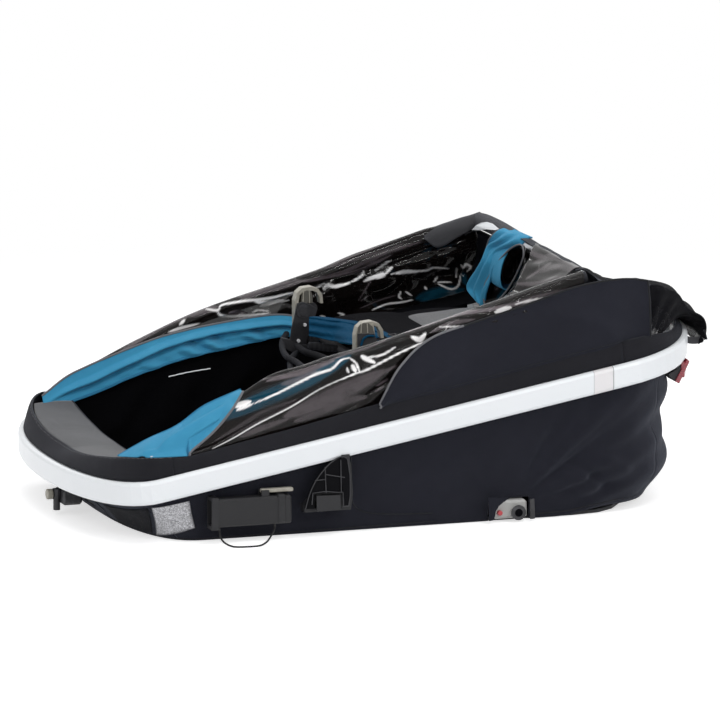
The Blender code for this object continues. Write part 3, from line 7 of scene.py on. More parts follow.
import bmesh
import bpy
import numpy as np
from mathutils import Vector, noise
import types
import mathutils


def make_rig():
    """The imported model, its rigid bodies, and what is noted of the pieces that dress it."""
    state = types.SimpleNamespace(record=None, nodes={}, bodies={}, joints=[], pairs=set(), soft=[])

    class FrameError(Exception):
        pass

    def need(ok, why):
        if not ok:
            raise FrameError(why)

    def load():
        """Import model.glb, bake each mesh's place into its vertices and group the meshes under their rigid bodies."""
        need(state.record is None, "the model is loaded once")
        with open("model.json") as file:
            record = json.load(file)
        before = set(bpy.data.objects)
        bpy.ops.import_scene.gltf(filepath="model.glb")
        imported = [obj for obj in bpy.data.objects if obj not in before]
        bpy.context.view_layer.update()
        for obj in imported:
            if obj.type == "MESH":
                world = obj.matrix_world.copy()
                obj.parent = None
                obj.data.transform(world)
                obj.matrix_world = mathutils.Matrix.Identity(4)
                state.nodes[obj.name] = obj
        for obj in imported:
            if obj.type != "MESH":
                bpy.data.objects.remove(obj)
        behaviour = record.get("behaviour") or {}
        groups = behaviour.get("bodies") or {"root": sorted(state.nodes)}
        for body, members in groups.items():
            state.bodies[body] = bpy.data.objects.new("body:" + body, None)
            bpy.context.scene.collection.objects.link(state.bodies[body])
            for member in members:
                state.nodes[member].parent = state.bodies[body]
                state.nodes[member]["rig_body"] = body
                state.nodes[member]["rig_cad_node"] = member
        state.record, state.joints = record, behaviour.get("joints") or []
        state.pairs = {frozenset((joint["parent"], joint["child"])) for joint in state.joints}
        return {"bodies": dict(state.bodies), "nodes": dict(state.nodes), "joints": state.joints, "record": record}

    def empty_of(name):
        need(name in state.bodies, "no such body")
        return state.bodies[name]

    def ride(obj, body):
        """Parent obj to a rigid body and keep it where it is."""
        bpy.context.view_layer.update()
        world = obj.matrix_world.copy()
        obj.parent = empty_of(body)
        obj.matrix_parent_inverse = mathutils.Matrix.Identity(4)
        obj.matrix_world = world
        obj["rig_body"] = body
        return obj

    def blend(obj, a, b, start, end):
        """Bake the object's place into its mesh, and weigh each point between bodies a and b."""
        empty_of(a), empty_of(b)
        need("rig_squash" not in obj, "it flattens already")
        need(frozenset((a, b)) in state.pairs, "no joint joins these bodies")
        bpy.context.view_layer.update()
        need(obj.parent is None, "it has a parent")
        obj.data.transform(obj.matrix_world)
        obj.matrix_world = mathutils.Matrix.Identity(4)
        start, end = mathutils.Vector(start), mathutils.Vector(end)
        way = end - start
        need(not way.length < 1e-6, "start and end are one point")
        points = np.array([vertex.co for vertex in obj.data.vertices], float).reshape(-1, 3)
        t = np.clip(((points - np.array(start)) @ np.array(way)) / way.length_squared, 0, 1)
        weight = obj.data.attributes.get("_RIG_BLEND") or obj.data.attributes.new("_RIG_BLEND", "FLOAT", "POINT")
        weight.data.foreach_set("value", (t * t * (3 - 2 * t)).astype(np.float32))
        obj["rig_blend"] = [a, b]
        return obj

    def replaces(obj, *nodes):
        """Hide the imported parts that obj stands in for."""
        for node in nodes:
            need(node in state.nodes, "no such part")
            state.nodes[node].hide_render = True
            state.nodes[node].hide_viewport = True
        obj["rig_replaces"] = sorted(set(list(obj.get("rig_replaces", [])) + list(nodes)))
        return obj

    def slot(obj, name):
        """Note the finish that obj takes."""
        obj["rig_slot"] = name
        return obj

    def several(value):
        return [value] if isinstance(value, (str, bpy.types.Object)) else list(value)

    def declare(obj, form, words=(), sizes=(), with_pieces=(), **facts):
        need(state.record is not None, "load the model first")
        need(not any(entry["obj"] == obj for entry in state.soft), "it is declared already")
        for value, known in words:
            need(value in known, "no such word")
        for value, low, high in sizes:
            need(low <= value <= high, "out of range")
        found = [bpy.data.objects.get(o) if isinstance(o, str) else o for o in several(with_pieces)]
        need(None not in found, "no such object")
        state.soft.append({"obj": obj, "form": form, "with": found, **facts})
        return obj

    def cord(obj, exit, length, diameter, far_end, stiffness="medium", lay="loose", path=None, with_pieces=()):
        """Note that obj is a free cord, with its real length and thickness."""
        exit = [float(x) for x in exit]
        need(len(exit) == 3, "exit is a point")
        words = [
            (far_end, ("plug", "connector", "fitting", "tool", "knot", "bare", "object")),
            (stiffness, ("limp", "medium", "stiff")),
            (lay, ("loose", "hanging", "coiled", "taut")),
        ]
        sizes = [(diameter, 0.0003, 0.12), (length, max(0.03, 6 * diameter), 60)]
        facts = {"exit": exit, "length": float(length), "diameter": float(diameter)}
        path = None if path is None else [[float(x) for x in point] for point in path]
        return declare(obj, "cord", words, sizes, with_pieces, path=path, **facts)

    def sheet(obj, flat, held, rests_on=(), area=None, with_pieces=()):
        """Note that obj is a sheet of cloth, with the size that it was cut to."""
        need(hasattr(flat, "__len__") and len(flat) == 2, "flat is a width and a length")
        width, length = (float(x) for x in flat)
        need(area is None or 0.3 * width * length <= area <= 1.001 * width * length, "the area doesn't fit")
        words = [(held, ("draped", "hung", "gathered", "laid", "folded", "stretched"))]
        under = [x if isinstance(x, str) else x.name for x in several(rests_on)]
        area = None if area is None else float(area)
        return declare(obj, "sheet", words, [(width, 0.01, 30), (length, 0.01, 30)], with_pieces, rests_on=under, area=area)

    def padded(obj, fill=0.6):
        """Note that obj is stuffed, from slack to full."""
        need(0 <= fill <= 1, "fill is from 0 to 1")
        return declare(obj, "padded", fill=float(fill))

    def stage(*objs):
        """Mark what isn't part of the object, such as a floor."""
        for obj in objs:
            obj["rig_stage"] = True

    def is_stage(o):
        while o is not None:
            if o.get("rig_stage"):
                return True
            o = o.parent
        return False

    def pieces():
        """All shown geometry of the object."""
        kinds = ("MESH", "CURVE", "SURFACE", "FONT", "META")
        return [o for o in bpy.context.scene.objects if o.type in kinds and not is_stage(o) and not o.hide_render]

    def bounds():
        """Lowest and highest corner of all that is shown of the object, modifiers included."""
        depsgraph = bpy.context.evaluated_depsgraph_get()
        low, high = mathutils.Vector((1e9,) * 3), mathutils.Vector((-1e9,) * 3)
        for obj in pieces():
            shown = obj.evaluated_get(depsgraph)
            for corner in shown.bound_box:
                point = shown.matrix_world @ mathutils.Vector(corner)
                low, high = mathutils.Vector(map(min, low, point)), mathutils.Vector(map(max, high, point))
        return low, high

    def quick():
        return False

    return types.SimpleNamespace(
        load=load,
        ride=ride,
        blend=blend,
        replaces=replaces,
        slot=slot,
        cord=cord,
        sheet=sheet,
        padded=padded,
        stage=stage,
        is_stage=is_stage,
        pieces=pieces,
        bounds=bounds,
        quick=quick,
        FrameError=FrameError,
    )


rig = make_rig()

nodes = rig.load()["nodes"]
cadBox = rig.bounds()


# Shader building: a wrapped socket takes plain maths, and everything else comes from one method


class Wire:
    def __init__(self, finish, socket):
        self.finish = finish
        self.socket = socket

    def maths(self, operation, first, second=None):
        values = {0: first} if second is None else {0: first, 1: second}
        return self.finish.node("ShaderNodeMath", {"operation": operation}, values)

    def __add__(self, other):
        return self.maths("ADD", self, other)

    def __radd__(self, other):
        return self.maths("ADD", other, self)

    def __sub__(self, other):
        return self.maths("SUBTRACT", self, other)

    def __rsub__(self, other):
        return self.maths("SUBTRACT", other, self)

    def __mul__(self, other):
        return self.maths("MULTIPLY", self, other)

    def __rmul__(self, other):
        return self.maths("MULTIPLY", other, self)

    def over(self, limit):  # 1 where the value is above the limit
        return self.maths("GREATER_THAN", self, limit)

    def wave(self):
        return self.maths("SINE", self)

    def size(self):
        return self.maths("ABSOLUTE", self)

    def most(self, other):
        return self.maths("MAXIMUM", self, other)

    def least(self, other):
        return self.maths("MINIMUM", self, other)


class Shading:
    def __init__(self, tree):
        self.tree = tree

    def node(self, kind, settings=None, values=None, output=0):
        made = self.tree.nodes.new(kind)
        for key, value in (settings or {}).items():
            setattr(made, key, value)
        for key, value in (values or {}).items():
            if isinstance(value, Wire):
                self.tree.links.new(value.socket, made.inputs[key])
            else:
                made.inputs[key].default_value = value
        return Wire(self, made.outputs[output])

    def seenPlainly(self):  # 1 for the camera's rays, and for those of mirrors and clear film
        camera, glossy, through = (
            self.node("ShaderNodeLightPath", output=f"Is {kind} Ray") for kind in ("Camera", "Glossy", "Transmission")
        )
        return camera.most(glossy).most(through)


class Finish(Shading):
    def __init__(self, name, settings):
        self.material = bpy.data.materials.new(name)
        self.material.use_nodes = True
        super().__init__(self.material.node_tree)
        self.shader = self.tree.nodes["Principled BSDF"]
        for socketName, value in settings.items():
            self.shader.inputs[socketName].default_value = value

    def feed(self, socketName, wire):
        self.tree.links.new(wire.socket, self.shader.inputs[socketName])

    def place(self, scale=(1, 1, 1)):  # a point of the object, in metres
        spot = self.node("ShaderNodeTexCoord", output="Object")
        return self.node("ShaderNodeMapping", None, {"Vector": spot, "Scale": scale})

    def cloudy(self, scale, detail=3, roughness=0.5, stretch=(1, 1, 1)):
        values = {"Vector": self.place(stretch), "Scale": scale, "Detail": detail, "Roughness": roughness}
        return self.node("ShaderNodeTexNoise", None, values)

    def band(self, wire, low, high):  # 0 below low, 1 above high
        values = {0: wire, 1: low, 2: high}
        return self.node("ShaderNodeMapRange", {"interpolation_type": "SMOOTHSTEP"}, values)

    def blendColour(self, mask, first, second):
        values = {0: mask, 6: first, 7: second}
        return self.node("ShaderNodeMix", {"data_type": "RGBA"}, values, 2)

    def raised(self, height, strength):
        values = {"Height": height, "Distance": 1.0, "Strength": strength}
        self.feed("Normal", self.node("ShaderNodeBump", None, values))

    def axis(self, name):  # one coordinate of the point
        spot = self.node("ShaderNodeTexCoord", output="Object")
        return self.node("ShaderNodeSeparateXYZ", None, {0: spot}, name)

    def mark(self, name):  # one channel of the marks painted on a sheet
        colour = self.node("ShaderNodeAttribute", {"attribute_name": "marks"}, output="Color")
        return self.node("ShaderNodeSeparateColor", None, {0: colour}, name)


def rgb(red, green, blue):  # a colour as it looks on a screen, 0 to 255
    linear = []
    for value in (red, green, blue):
        share = value / 255
        linear.append(share / 12.92 if share <= 0.04045 else ((share + 0.055) / 1.055) ** 2.4)
    return (*linear, 1.0)


def newPiece(name, data, finish=None):
    # puts it in the scene, with the finish of that name
    piece = bpy.data.objects.new(name, data)
    bpy.context.scene.collection.objects.link(piece)
    if finish:
        data.materials.clear()
        data.materials.append(finishes[finish])
    return piece


# Camera, floor and lamps

view = {
    "aim": (0.0099, 0.0, 0.243),
    "towards": (-0.3097, -0.9311, 0.1925),
    "distance": 32.0,
    "lens": 904.0,
    "sensor": 36.0,
    "reach": 90.0,
}


def makeCamera():
    camera = newPiece("viewCamera", bpy.data.cameras.new("viewCamera"))
    aim = Vector(view["aim"])
    direction = Vector(view["towards"]).normalized()
    camera.location = aim + direction * view["distance"]
    camera.rotation_euler = direction.to_track_quat("Z", "Y").to_euler()
    camera.data.lens = view["lens"]
    camera.data.sensor_width = view["sensor"]
    camera.data.clip_end = view["reach"]
    bpy.context.scene.camera = camera


studio = {
    "floorSize": 40.0,
    "floorColour": (0.86, 0.86, 0.865, 1.0),
    "floorGlow": 0.60,
    "fadeFrom": 1.0,  # the floor fades to plain white between these distances from its middle
    "fadeTo": 2.4,
    "worldStrength": 0.42,
    "lamps": (
        # name, place, aim, width, height, watts
        ("overhead", (-0.3, 0.3, 2.7), (0, 0, 0.2), 2.4, 1.4, 17),
        ("highStrip", (0.9, -1.4, 2.6), (0, 0, 0.25), 2.8, 0.12, 20),
        ("frontStrip", (0.9, -2.9, 1.55), (0, 0, 0.25), 2.6, 0.10, 18),
        ("leftStrip", (-2.6, -1.5, 1.7), (0, 0, 0.2), 0.30, 1.9, 16),
        ("behind", (0.6, 2.3, 2.3), (0, 0, 0.3), 2.6, 0.22, 14),
    ),
}


def makeStage():
    scene = bpy.context.scene
    scene.view_settings.view_transform = "Standard"
    half = studio["floorSize"] / 2
    mesh = bpy.data.meshes.new("floor")
    mesh.from_pydata([(-half, -half, 0), (half, -half, 0), (half, half, 0), (-half, half, 0)], [], [(0, 1, 2, 3)])
    floor = newPiece("floor", mesh)
    mesh.materials.append(floorFinish())
    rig.stage(floor)
    makeWorld(scene)
    for name, place, aim, width, height, watts in studio["lamps"]:
        lamp = bpy.data.lights.new(name, "AREA")
        lamp.shape = "RECTANGLE"
        lamp.size = width
        lamp.size_y = height
        lamp.energy = watts
        holder = newPiece(name, lamp)
        holder.location = place
        holder.rotation_euler = (Vector(place) - Vector(aim)).to_track_quat("Z", "Y").to_euler()


def floorFinish():
    # the camera and mirrors see plain white, and the object's shadow stays on it
    finish = Finish("floorFinish", {"Base Color": studio["floorColour"], "Roughness": 0.9, "Specular IOR Level": 0.1})
    finish.feed("Roughness", 0.85 + finish.cloudy(6.0, 2) * 0.1)
    lit = Wire(finish, finish.shader.outputs[0])
    glow = finish.node("ShaderNodeEmission", None, {"Color": (1, 1, 1, 1), "Strength": studio["floorGlow"]})
    both = finish.node("ShaderNodeAddShader", None, {0: lit, 1: glow})
    away = finish.node("ShaderNodeVectorMath", {"operation": "LENGTH"}, {0: finish.place()}, "Value")
    white = finish.node("ShaderNodeEmission", None, {"Color": (1, 1, 1, 1), "Strength": 1.0})
    far = finish.band(away, studio["fadeFrom"], studio["fadeTo"])
    faded = finish.node("ShaderNodeMixShader", None, {0: far, 1: both, 2: white})
    shown = finish.node("ShaderNodeMixShader", None, {0: finish.seenPlainly(), 1: lit, 2: faded})
    finish.tree.links.new(shown.socket, finish.tree.nodes["Material Output"].inputs["Surface"])
    return finish.material


def makeWorld(scene):
    world = bpy.data.worlds.new("studioAir")
    world.use_nodes = True
    air = Shading(world.node_tree)
    background = air.tree.nodes["Background"]
    values = {0: air.seenPlainly(), 3: studio["worldStrength"], 4: 1.0}
    strength = air.node("ShaderNodeMapRange", None, values)
    air.tree.links.new(strength.socket, background.inputs["Strength"])
    background.inputs["Color"].default_value = (1, 1, 1, 1)
    scene.world = world


makeCamera()
makeStage()
print("stage: camera, floor and lamps")


# Mesh building


def addMesh(name, points, faces, finish, smooth=True, uvs=None):
    mesh = bpy.data.meshes.new(name)
    mesh.from_pydata([tuple(p) for p in points], [], faces)
    if uvs is not None:
        layer = mesh.uv_layers.new(name="UVMap")
        for loop in mesh.loops:
            layer.data[loop.index].uv = uvs[loop.vertex_index]
    mesh.validate()
    if smooth:
        mesh.shade_smooth()
    return newPiece(name, mesh, finish)


def applyModifiers(piece):
    graph = bpy.context.evaluated_depsgraph_get()
    mesh = bpy.data.meshes.new_from_object(piece.evaluated_get(graph), depsgraph=graph)
    piece.modifiers.clear()
    piece.data = mesh
    return piece


def cloth(name, surface, across, along, thickness, finish):
    # a sheet through surface(u, v), with u and v from 0 to 1, given its thickness
    points, uvs, faces = [], [], []
    for row in range(along + 1):
        for column in range(across + 1):
            u, v = column / across, row / along
            points.append(surface(u, v))
            uvs.append((u, v))
    for row in range(along):
        for column in range(across):
            first = row * (across + 1) + column
            faces.append((first, first + 1, first + across + 2, first + across + 1))
    piece = addMesh(name, points, faces, finish, uvs=uvs)
    solid = piece.modifiers.new("thickness", "SOLIDIFY")
    solid.thickness = thickness
    solid.offset = 0.0
    solid.use_even_offset = False
    return applyModifiers(piece)


plane = {  # square to the view from the front left, measured right and down from its corner
    "perMetre": 565,
    "across": 354.7,
    "down": 495.3,
    "rightX": 0.9489,
    "rightY": 0.3156,
    "upX": 0.0608,
    "upY": 0.1827,
    "upZ": 0.9813,
    "area": 0.19255,  # rightX * upY + rightY * upX
}


def paint(piece, strokes):
    # marks on a sheet, for its finish, such as painted highlights and reflections: each stroke is a channel, a
    # strength, a half width, a soft edge and a chain of spots on the plane
    mesh = piece.data
    places = np.empty(len(mesh.vertices) * 3)
    mesh.vertices.foreach_get("co", places)
    places = places.reshape(-1, 3)
    x, y, z = places.T
    right = plane["across"] + plane["perMetre"] * (plane["rightX"] * x - plane["rightY"] * y)
    down = plane["down"] - plane["perMetre"] * (plane["upX"] * x + plane["upY"] * y + plane["upZ"] * z)
    marks = np.zeros((len(places), 4))
    marks[:, 3] = 1
    for channel, strength, half, soft, spots in strokes:
        line = smoothLine([(x, y, 0) for x, y in spots], 5)
        fade = np.zeros(len(places))
        for k in range(len(line) - 1):
            (x0, y0, _), (x1, y1, _) = line[k], line[k + 1]
            dx, dy = x1 - x0, y1 - y0
            share = np.clip(((right - x0) * dx + (down - y0) * dy) / (dx * dx + dy * dy + 1e-9), 0, 1)
            reach = np.hypot(right - x0 - share * dx, down - y0 - share * dy)
            thin = np.sqrt(np.clip(np.sin(np.pi * (k + share) / (len(line) - 1)), 0.02, 1))
            fade = np.maximum(fade, np.clip(1 - (reach - half * thin) / (soft * (0.45 + 0.55 * thin)), 0, 1))
        marks[:, channel] = np.maximum(marks[:, channel], strength * fade * fade * (3 - 2 * fade))
    layer = mesh.color_attributes.new("marks", "FLOAT_COLOR", "POINT")
    layer.data.foreach_set("color", marks.reshape(-1))


def rod(name, points, radius, finish, sides=8, closed=False):
    # a round cord, piping or hem roll along a chain of points
    curve = bpy.data.curves.new(name, "CURVE")
    curve.dimensions = "3D"
    spline = curve.splines.new("POLY")
    spline.points.add(len(points) - 1)
    for spot, place in zip(spline.points, points):
        spot.co = (*place, 1.0)
    spline.use_cyclic_u = closed
    curve.bevel_depth = radius
    curve.bevel_resolution = max(1, sides // 4)
    curve.use_fill_caps = not closed
    holder = newPiece(name, curve)
    bpy.context.view_layer.update()
    graph = bpy.context.evaluated_depsgraph_get()
    mesh = bpy.data.meshes.new_from_object(holder.evaluated_get(graph), depsgraph=graph)
    bpy.data.objects.remove(holder, do_unlink=True)
    mesh.shade_smooth()
    return newPiece(name, mesh, finish)


def strap(name, points, width, thickness, finish, side=None):
    # flat webbing along a chain of points, its width lying along side
    line = smoothLine(points, 6)
    rings, faces = [], []
    for i, place in enumerate(line):
        ahead = (line[min(i + 1, len(line) - 1)] - line[max(i - 1, 0)]).normalized()
        across = Vector(side if side else (0, 1, 0))
        across = (across - ahead * across.dot(ahead)).normalized()
        up = ahead.cross(across)
        for a, b in ((-1, -1), (-0.9, -1.25), (0.9, -1.25), (1, -1), (1, 1), (0.9, 1.25), (-0.9, 1.25), (-1, 1)):
            rings.append(place + across * (a * width / 2) + up * (b * thickness / 2.5))
    for i in range(len(line) - 1):
        for k in range(8):
            faces.append((i * 8 + k, i * 8 + (k + 1) % 8, i * 8 + 8 + (k + 1) % 8, i * 8 + 8 + k))
    faces.append(tuple(reversed(range(8))))
    faces.append(tuple(range(len(rings) - 8, len(rings))))
    uvs = [(k % 8 / 8, k // 8 / len(line)) for k in range(len(rings))]
    return addMesh(name, rings, faces, finish, uvs=uvs)


def box(name, low, high, edge, finish):
    bm = bmesh.new()
    bmesh.ops.create_cube(bm, size=1.0)
    size = Vector(high) - Vector(low)
    bmesh.ops.scale(bm, vec=size, verts=bm.verts)
    bmesh.ops.bevel(bm, geom=list(bm.edges), offset=edge, segments=3, affect="EDGES", profile=0.5)
    bmesh.ops.translate(bm, vec=(Vector(low) + Vector(high)) / 2, verts=bm.verts)
    mesh = bpy.data.meshes.new(name)
    bm.to_mesh(mesh)
    bm.free()
    return newPiece(name, mesh, finish)


def merge(name, pieces):  # several small meshes of one finish as one piece
    bm = bmesh.new()
    for piece in pieces:
        start = len(bm.verts)
        bm.from_mesh(piece.data)
        bm.verts.ensure_lookup_table()
        for vertex in bm.verts[start:]:
            vertex.co = piece.matrix_world @ vertex.co
    mesh = bpy.data.meshes.new(name)
    bm.to_mesh(mesh)
    bm.free()
    mesh.materials.append(pieces[0].data.materials[0])
    for piece in pieces:
        bpy.data.objects.remove(piece, do_unlink=True)
    return newPiece(name, mesh)


# Plain sums


def ease(t):
    t = min(max(t, 0.0), 1.0)
    return t * t * (3 - 2 * t)


def mix(a, b, t):
    return a + (b - a) * t


def bump(x, middle, reach):  # 1 at the middle, 0 from the reach on
    return ease(1 - abs(x - middle) / reach)


def alongTable(table, x):
    if x <= table[0][0]:
        return table[0][1]
    for (x0, v0), (x1, v1) in zip(table, table[1:]):
        if x <= x1:
            return mix(v0, v1, (x - x0) / (x1 - x0))
    return table[-1][1]


def smoothTable(table, x):  # the same, through a smooth curve
    xs = [p[0] for p in table]
    if x <= xs[0]:
        return table[0][1]
    if x >= xs[-1]:
        return table[-1][1]
    i = max(k for k in range(len(xs) - 1) if xs[k] <= x)
    slopes = []
    for k in (i, i + 1):
        low, high = max(k - 1, 0), min(k + 1, len(xs) - 1)
        slopes.append((table[high][1] - table[low][1]) / (xs[high] - xs[low]))
    step = xs[i + 1] - xs[i]
    t = (x - xs[i]) / step
    a, b = table[i][1], table[i + 1][1]
    return (
        (2 * t**3 - 3 * t * t + 1) * a
        + (t**3 - 2 * t * t + t) * step * slopes[0]
        + (3 * t * t - 2 * t**3) * b
        + (t**3 - t * t) * step * slopes[1]
    )


def smoothLine(points, steps):
    chain = [Vector(p) for p in points]
    ends = [2 * chain[0] - chain[1]] + chain + [2 * chain[-1] - chain[-2]]
    found = []
    for i in range(1, len(ends) - 2):
        a, b, c, d = ends[i - 1 : i + 3]
        for k in range(steps):
            t = k / steps
            found.append(
                0.5 * (2 * b + (c - a) * t + (2 * a - 5 * b + 4 * c - d) * t * t + (3 * b - a - 3 * c + d) * t**3)
            )
    found.append(chain[-1])
    return found


def ripple(x, y, z, scale):  # smooth noise from -1 to 1
    return noise.noise(Vector((x, y, z)) * scale)


def cutFrom(piece, surface, held, restsOn):
    # the flat piece it was cut from: its middle line's length by what its area leaves
    line = [surface(k / 80, 0.5) for k in range(81)]
    width = sum((b - a).length for a, b in zip(line, line[1:]))
    area = sum(face.area for face in piece.data.polygons) / 2
    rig.sheet(piece, flat=(width, area / width), held=held, rests_on=restsOn)
    return piece


def plate(name, outline, thickness, finish):
    # flat plate from its outline's points, thickened away from the camera's side
    back = [p + Vector((0, thickness, 0)) for p in outline]
    count = len(outline)
    faces = [tuple(range(count))[::-1], tuple(range(count, 2 * count))]
    faces += [(k, (k + 1) % count, count + (k + 1) % count, count + k) for k in range(count)]
    piece = addMesh(name, list(outline) + back, faces, finish, smooth=False)
    edge = piece.modifiers.new("edge", "BEVEL")
    edge.width = 0.0006
    edge.segments = 2
    applyModifiers(piece)
    return piece


def seenAt(across, down, z):
    # the point at height z that the view shows at this spot of its plane
    right = (across - plane["across"]) / plane["perMetre"]
    up = (plane["down"] - down) / plane["perMetre"] - plane["upZ"] * z
    x = (right * plane["upY"] + plane["rightY"] * up) / plane["area"]
    return Vector((x, (plane["rightX"] * up - plane["upX"] * right) / plane["area"], z))


def seenBeside(across, down, y):
    # the same, for a point at depth y
    x = ((across - plane["across"]) / plane["perMetre"] + plane["rightY"] * y) / plane["rightX"]
    up = (plane["down"] - down) / plane["perMetre"]
    return Vector((x, y, (up - plane["upX"] * x - plane["upY"] * y) / plane["upZ"]))


def traced(surface, steps, v, shift=(0, 0, 0)):
    # the line along a surface at this v
    return [surface(k / steps, v) + Vector(shift) for k in range(steps + 1)]


def outlineAt(spots, y):
    return [seenBeside(*spot, y) for spot in spots]


def frontOf(nodeName):
    # the depth of a hard part's nearest face
    part = nodes[nodeName]
    return min((part.matrix_world @ vertex.co).y for vertex in part.data.vertices)


def alongRows(rows, share):
    # every column of the table at this share of its length, through a smooth curve
    t = share * (len(rows) - 1)
    return [smoothTable([(k, row[axis]) for k, row in enumerate(rows)], t) for axis in range(len(rows[0]))]


def sideSurface(point, low, high, side):
    # one side's sheet, from s = low to s = high; side is 1 on the right and -1 on the left
    def surface(u, v):
        p = point(mix(low, high, u), v)
        return Vector((p.x, side * p.y, p.z))

    return surface


def mirroredSurface(point, low, high):
    # one sheet over both sides, from s = high on the left round low to high on the right
    def surface(u, v):
        side = -1 if u < 0.5 else 1
        p = point(mix(low, high, abs(u - 0.5) * 2), v)
        return Vector((p.x, side * p.y, p.z))

    return surface


# Finishes

clothLook = {
    "threads": 1500,  # threads per metre
    "depth": 0.00025,
}


def wovenFinish(name, colour, paler, threads=None, slack=0.0016, fuzz=0.25, dust=0.25, shine=0.3):
    # plain-woven coated cloth: threads both ways, soft creases, faded patches and a little lint
    sheen = {"Sheen Weight": fuzz, "Sheen Roughness": 0.4, "Sheen Tint": (0.6, 0.65, 0.8, 1)}
    finish = Finish(name, {**sheen, "Specular IOR Level": shine})
    count = (threads or clothLook["threads"]) * 2 * math.pi
    x, y, z = finish.axis("X"), finish.axis("Y"), finish.axis("Z")
    warp = ((x + y * 0.35) * count).wave()
    weft = ((z + y * 0.9) * count).wave()
    weave = warp * weft * 0.5 + 0.5
    folds = finish.cloudy(9, 4, 0.55, (1, 1, 1.6))
    fine = finish.cloudy(60, 3, 0.6)
    lint = finish.band(finish.cloudy(700, 2, 0.7), 0.72, 0.80)
    faded = finish.band(finish.cloudy(5, 4, 0.65), 0.45, 0.75)
    tone = finish.blendColour(faded * dust + weave * 0.22, colour, paler)
    finish.feed("Base Color", finish.blendColour(lint * 0.25, tone, rgb(150, 150, 155)))
    finish.feed("Roughness", finish.cloudy(30, 2) * 0.12 + 0.76)
    finish.raised(folds * slack + fine * slack * 0.12 + weave * clothLook["depth"], 0.9)
    return finish.material


def melangeFinish(name, dark, light):
    # heathered cloth: short flecks of two yarns over a woven ground
    finish = Finish(name, {"Sheen Weight": 0.35, "Sheen Roughness": 0.5, "Specular IOR Level": 0.2})
    across = finish.cloudy(900, 2, 0.7, (0.25, 1, 1))
    down = finish.cloudy(900, 2, 0.7, (1, 0.25, 0.6))
    fleck = finish.band(across * 0.5 + down * 0.5, 0.38, 0.62)
    patch = finish.cloudy(14, 3)
    ground = finish.blendColour(fleck, dark, light)
    finish.feed("Base Color", finish.blendColour(patch * 0.25, ground, dark))
    finish.feed("Roughness", 0.8 + patch * 0.12)
    finish.raised(fleck * 0.0003 + patch * 0.0012, 0.8)
    return finish.material


filmLook = {
    "colour": (0.004, 0.0035, 0.0035, 1),
    "alpha": 0.80,
}


def vinylFinish(name):
    # smoke-tinted clear film: mirror gloss, pressed creases and hand marks. Painted marks put painted highlights on
    # its sharpest folds (red), a painted grey reflection on its broad ones (green) and show the blue cloth pressed
    # against its back (blue)
    settings = {"Base Color": filmLook["colour"], "IOR": 1.45, "Specular IOR Level": 0.15, "Coat Roughness": 0.04}
    finish = Finish(name, settings)
    white, silver, teal = finish.mark("Red"), finish.mark("Green"), finish.mark("Blue")
    waves = finish.cloudy(11, 1, 0.4, (1, 1, 1.5))
    smears = finish.band(finish.cloudy(20, 4, 0.7, (0.5, 1, 1)), 0.50, 0.80)
    dust = finish.band(finish.cloudy(900, 2, 0.7), 0.74, 0.80)
    broken = finish.band(finish.cloudy(55, 3, 0.6, (0.6, 1, 1)), 0.30, 0.62)
    tint = finish.blendColour(finish.cloudy(7, 2) * 0.6, filmLook["colour"], rgb(30, 24, 22))
    tint = finish.blendColour(teal * (0.75 + broken * 0.25), tint, rgb(16, 66, 86))
    # painted reflection in grey on the broad folds, then painted highlight in near white on the sharpest ones
    tint = finish.blendColour(silver * (0.70 + broken * 0.30), tint, rgb(112, 103, 108))
    tint = finish.blendColour(white, tint, rgb(254, 252, 252))
    finish.feed("Base Color", finish.blendColour(dust * 0.3, tint, rgb(120, 118, 116)))
    finish.feed("Roughness", 0.035 + smears * 0.07 + dust * 0.2 + white * 0.15)
    finish.feed("Coat Weight", (white + silver * 0.4 + 0.18).least(1.0))
    marked = (white + silver * 0.6 + teal * 0.5) * 0.3
    finish.feed("Alpha", (smears * 0.04 + filmLook["alpha"] + marked).least(1.0))
    finish.raised(waves * 0.0022, 0.7)
    return finish.material


def netFinish(name, colour, cell=0.0021, cover=0.50, yarnColour=rgb(58, 58, 62)):
    # open knitted net: round holes in rows, with the yarn standing up between them
    finish = Finish(name, {"Roughness": 0.8, "Specular IOR Level": 0.05, "Sheen Weight": 0.02})
    turn = math.pi * 2 / cell
    u = finish.axis("X") * 0.75 + finish.axis("Y")
    v = finish.axis("Z") + finish.axis("X") * 0.45
    holes = ((u + v * 0.58) * turn * 0.5).wave() * ((u - v * 0.58) * turn * 0.5).wave()
    yarn = 1 - finish.band(holes.size(), cover, cover + 0.25)
    finish.feed("Base Color", finish.blendColour(yarn * finish.cloudy(40, 3), colour, yarnColour))
    finish.feed("Alpha", yarn * 0.80 + 0.20)
    finish.raised(yarn * 0.0004, 0.8)
    return finish.material


def mouldedFinish(name, colour, paler, rough=0.42, grain=0.00006, worn=None, shine=0.45):
    # moulded plastic: fine spark-eroded grain, flow marks and edges rubbed paler
    finish = Finish(name, {"Specular IOR Level": shine})
    pits = finish.cloudy(1400, 2, 0.6)
    flow = finish.cloudy(12, 4, 0.6)
    rub = finish.band(finish.node("ShaderNodeNewGeometry", output="Pointiness"), 0.52, 0.62)
    rub = rub * finish.band(finish.cloudy(45, 4, 0.7), 0.35, 0.65)
    tone = finish.blendColour(flow * 0.5, colour, paler)
    finish.feed("Base Color", finish.blendColour(rub * 0.5, tone, worn or paler))
    finish.feed("Roughness", rough + flow * 0.12 - rub * 0.08)
    finish.raised(pits * grain + flow * grain * 3, 0.9)
    return finish.material


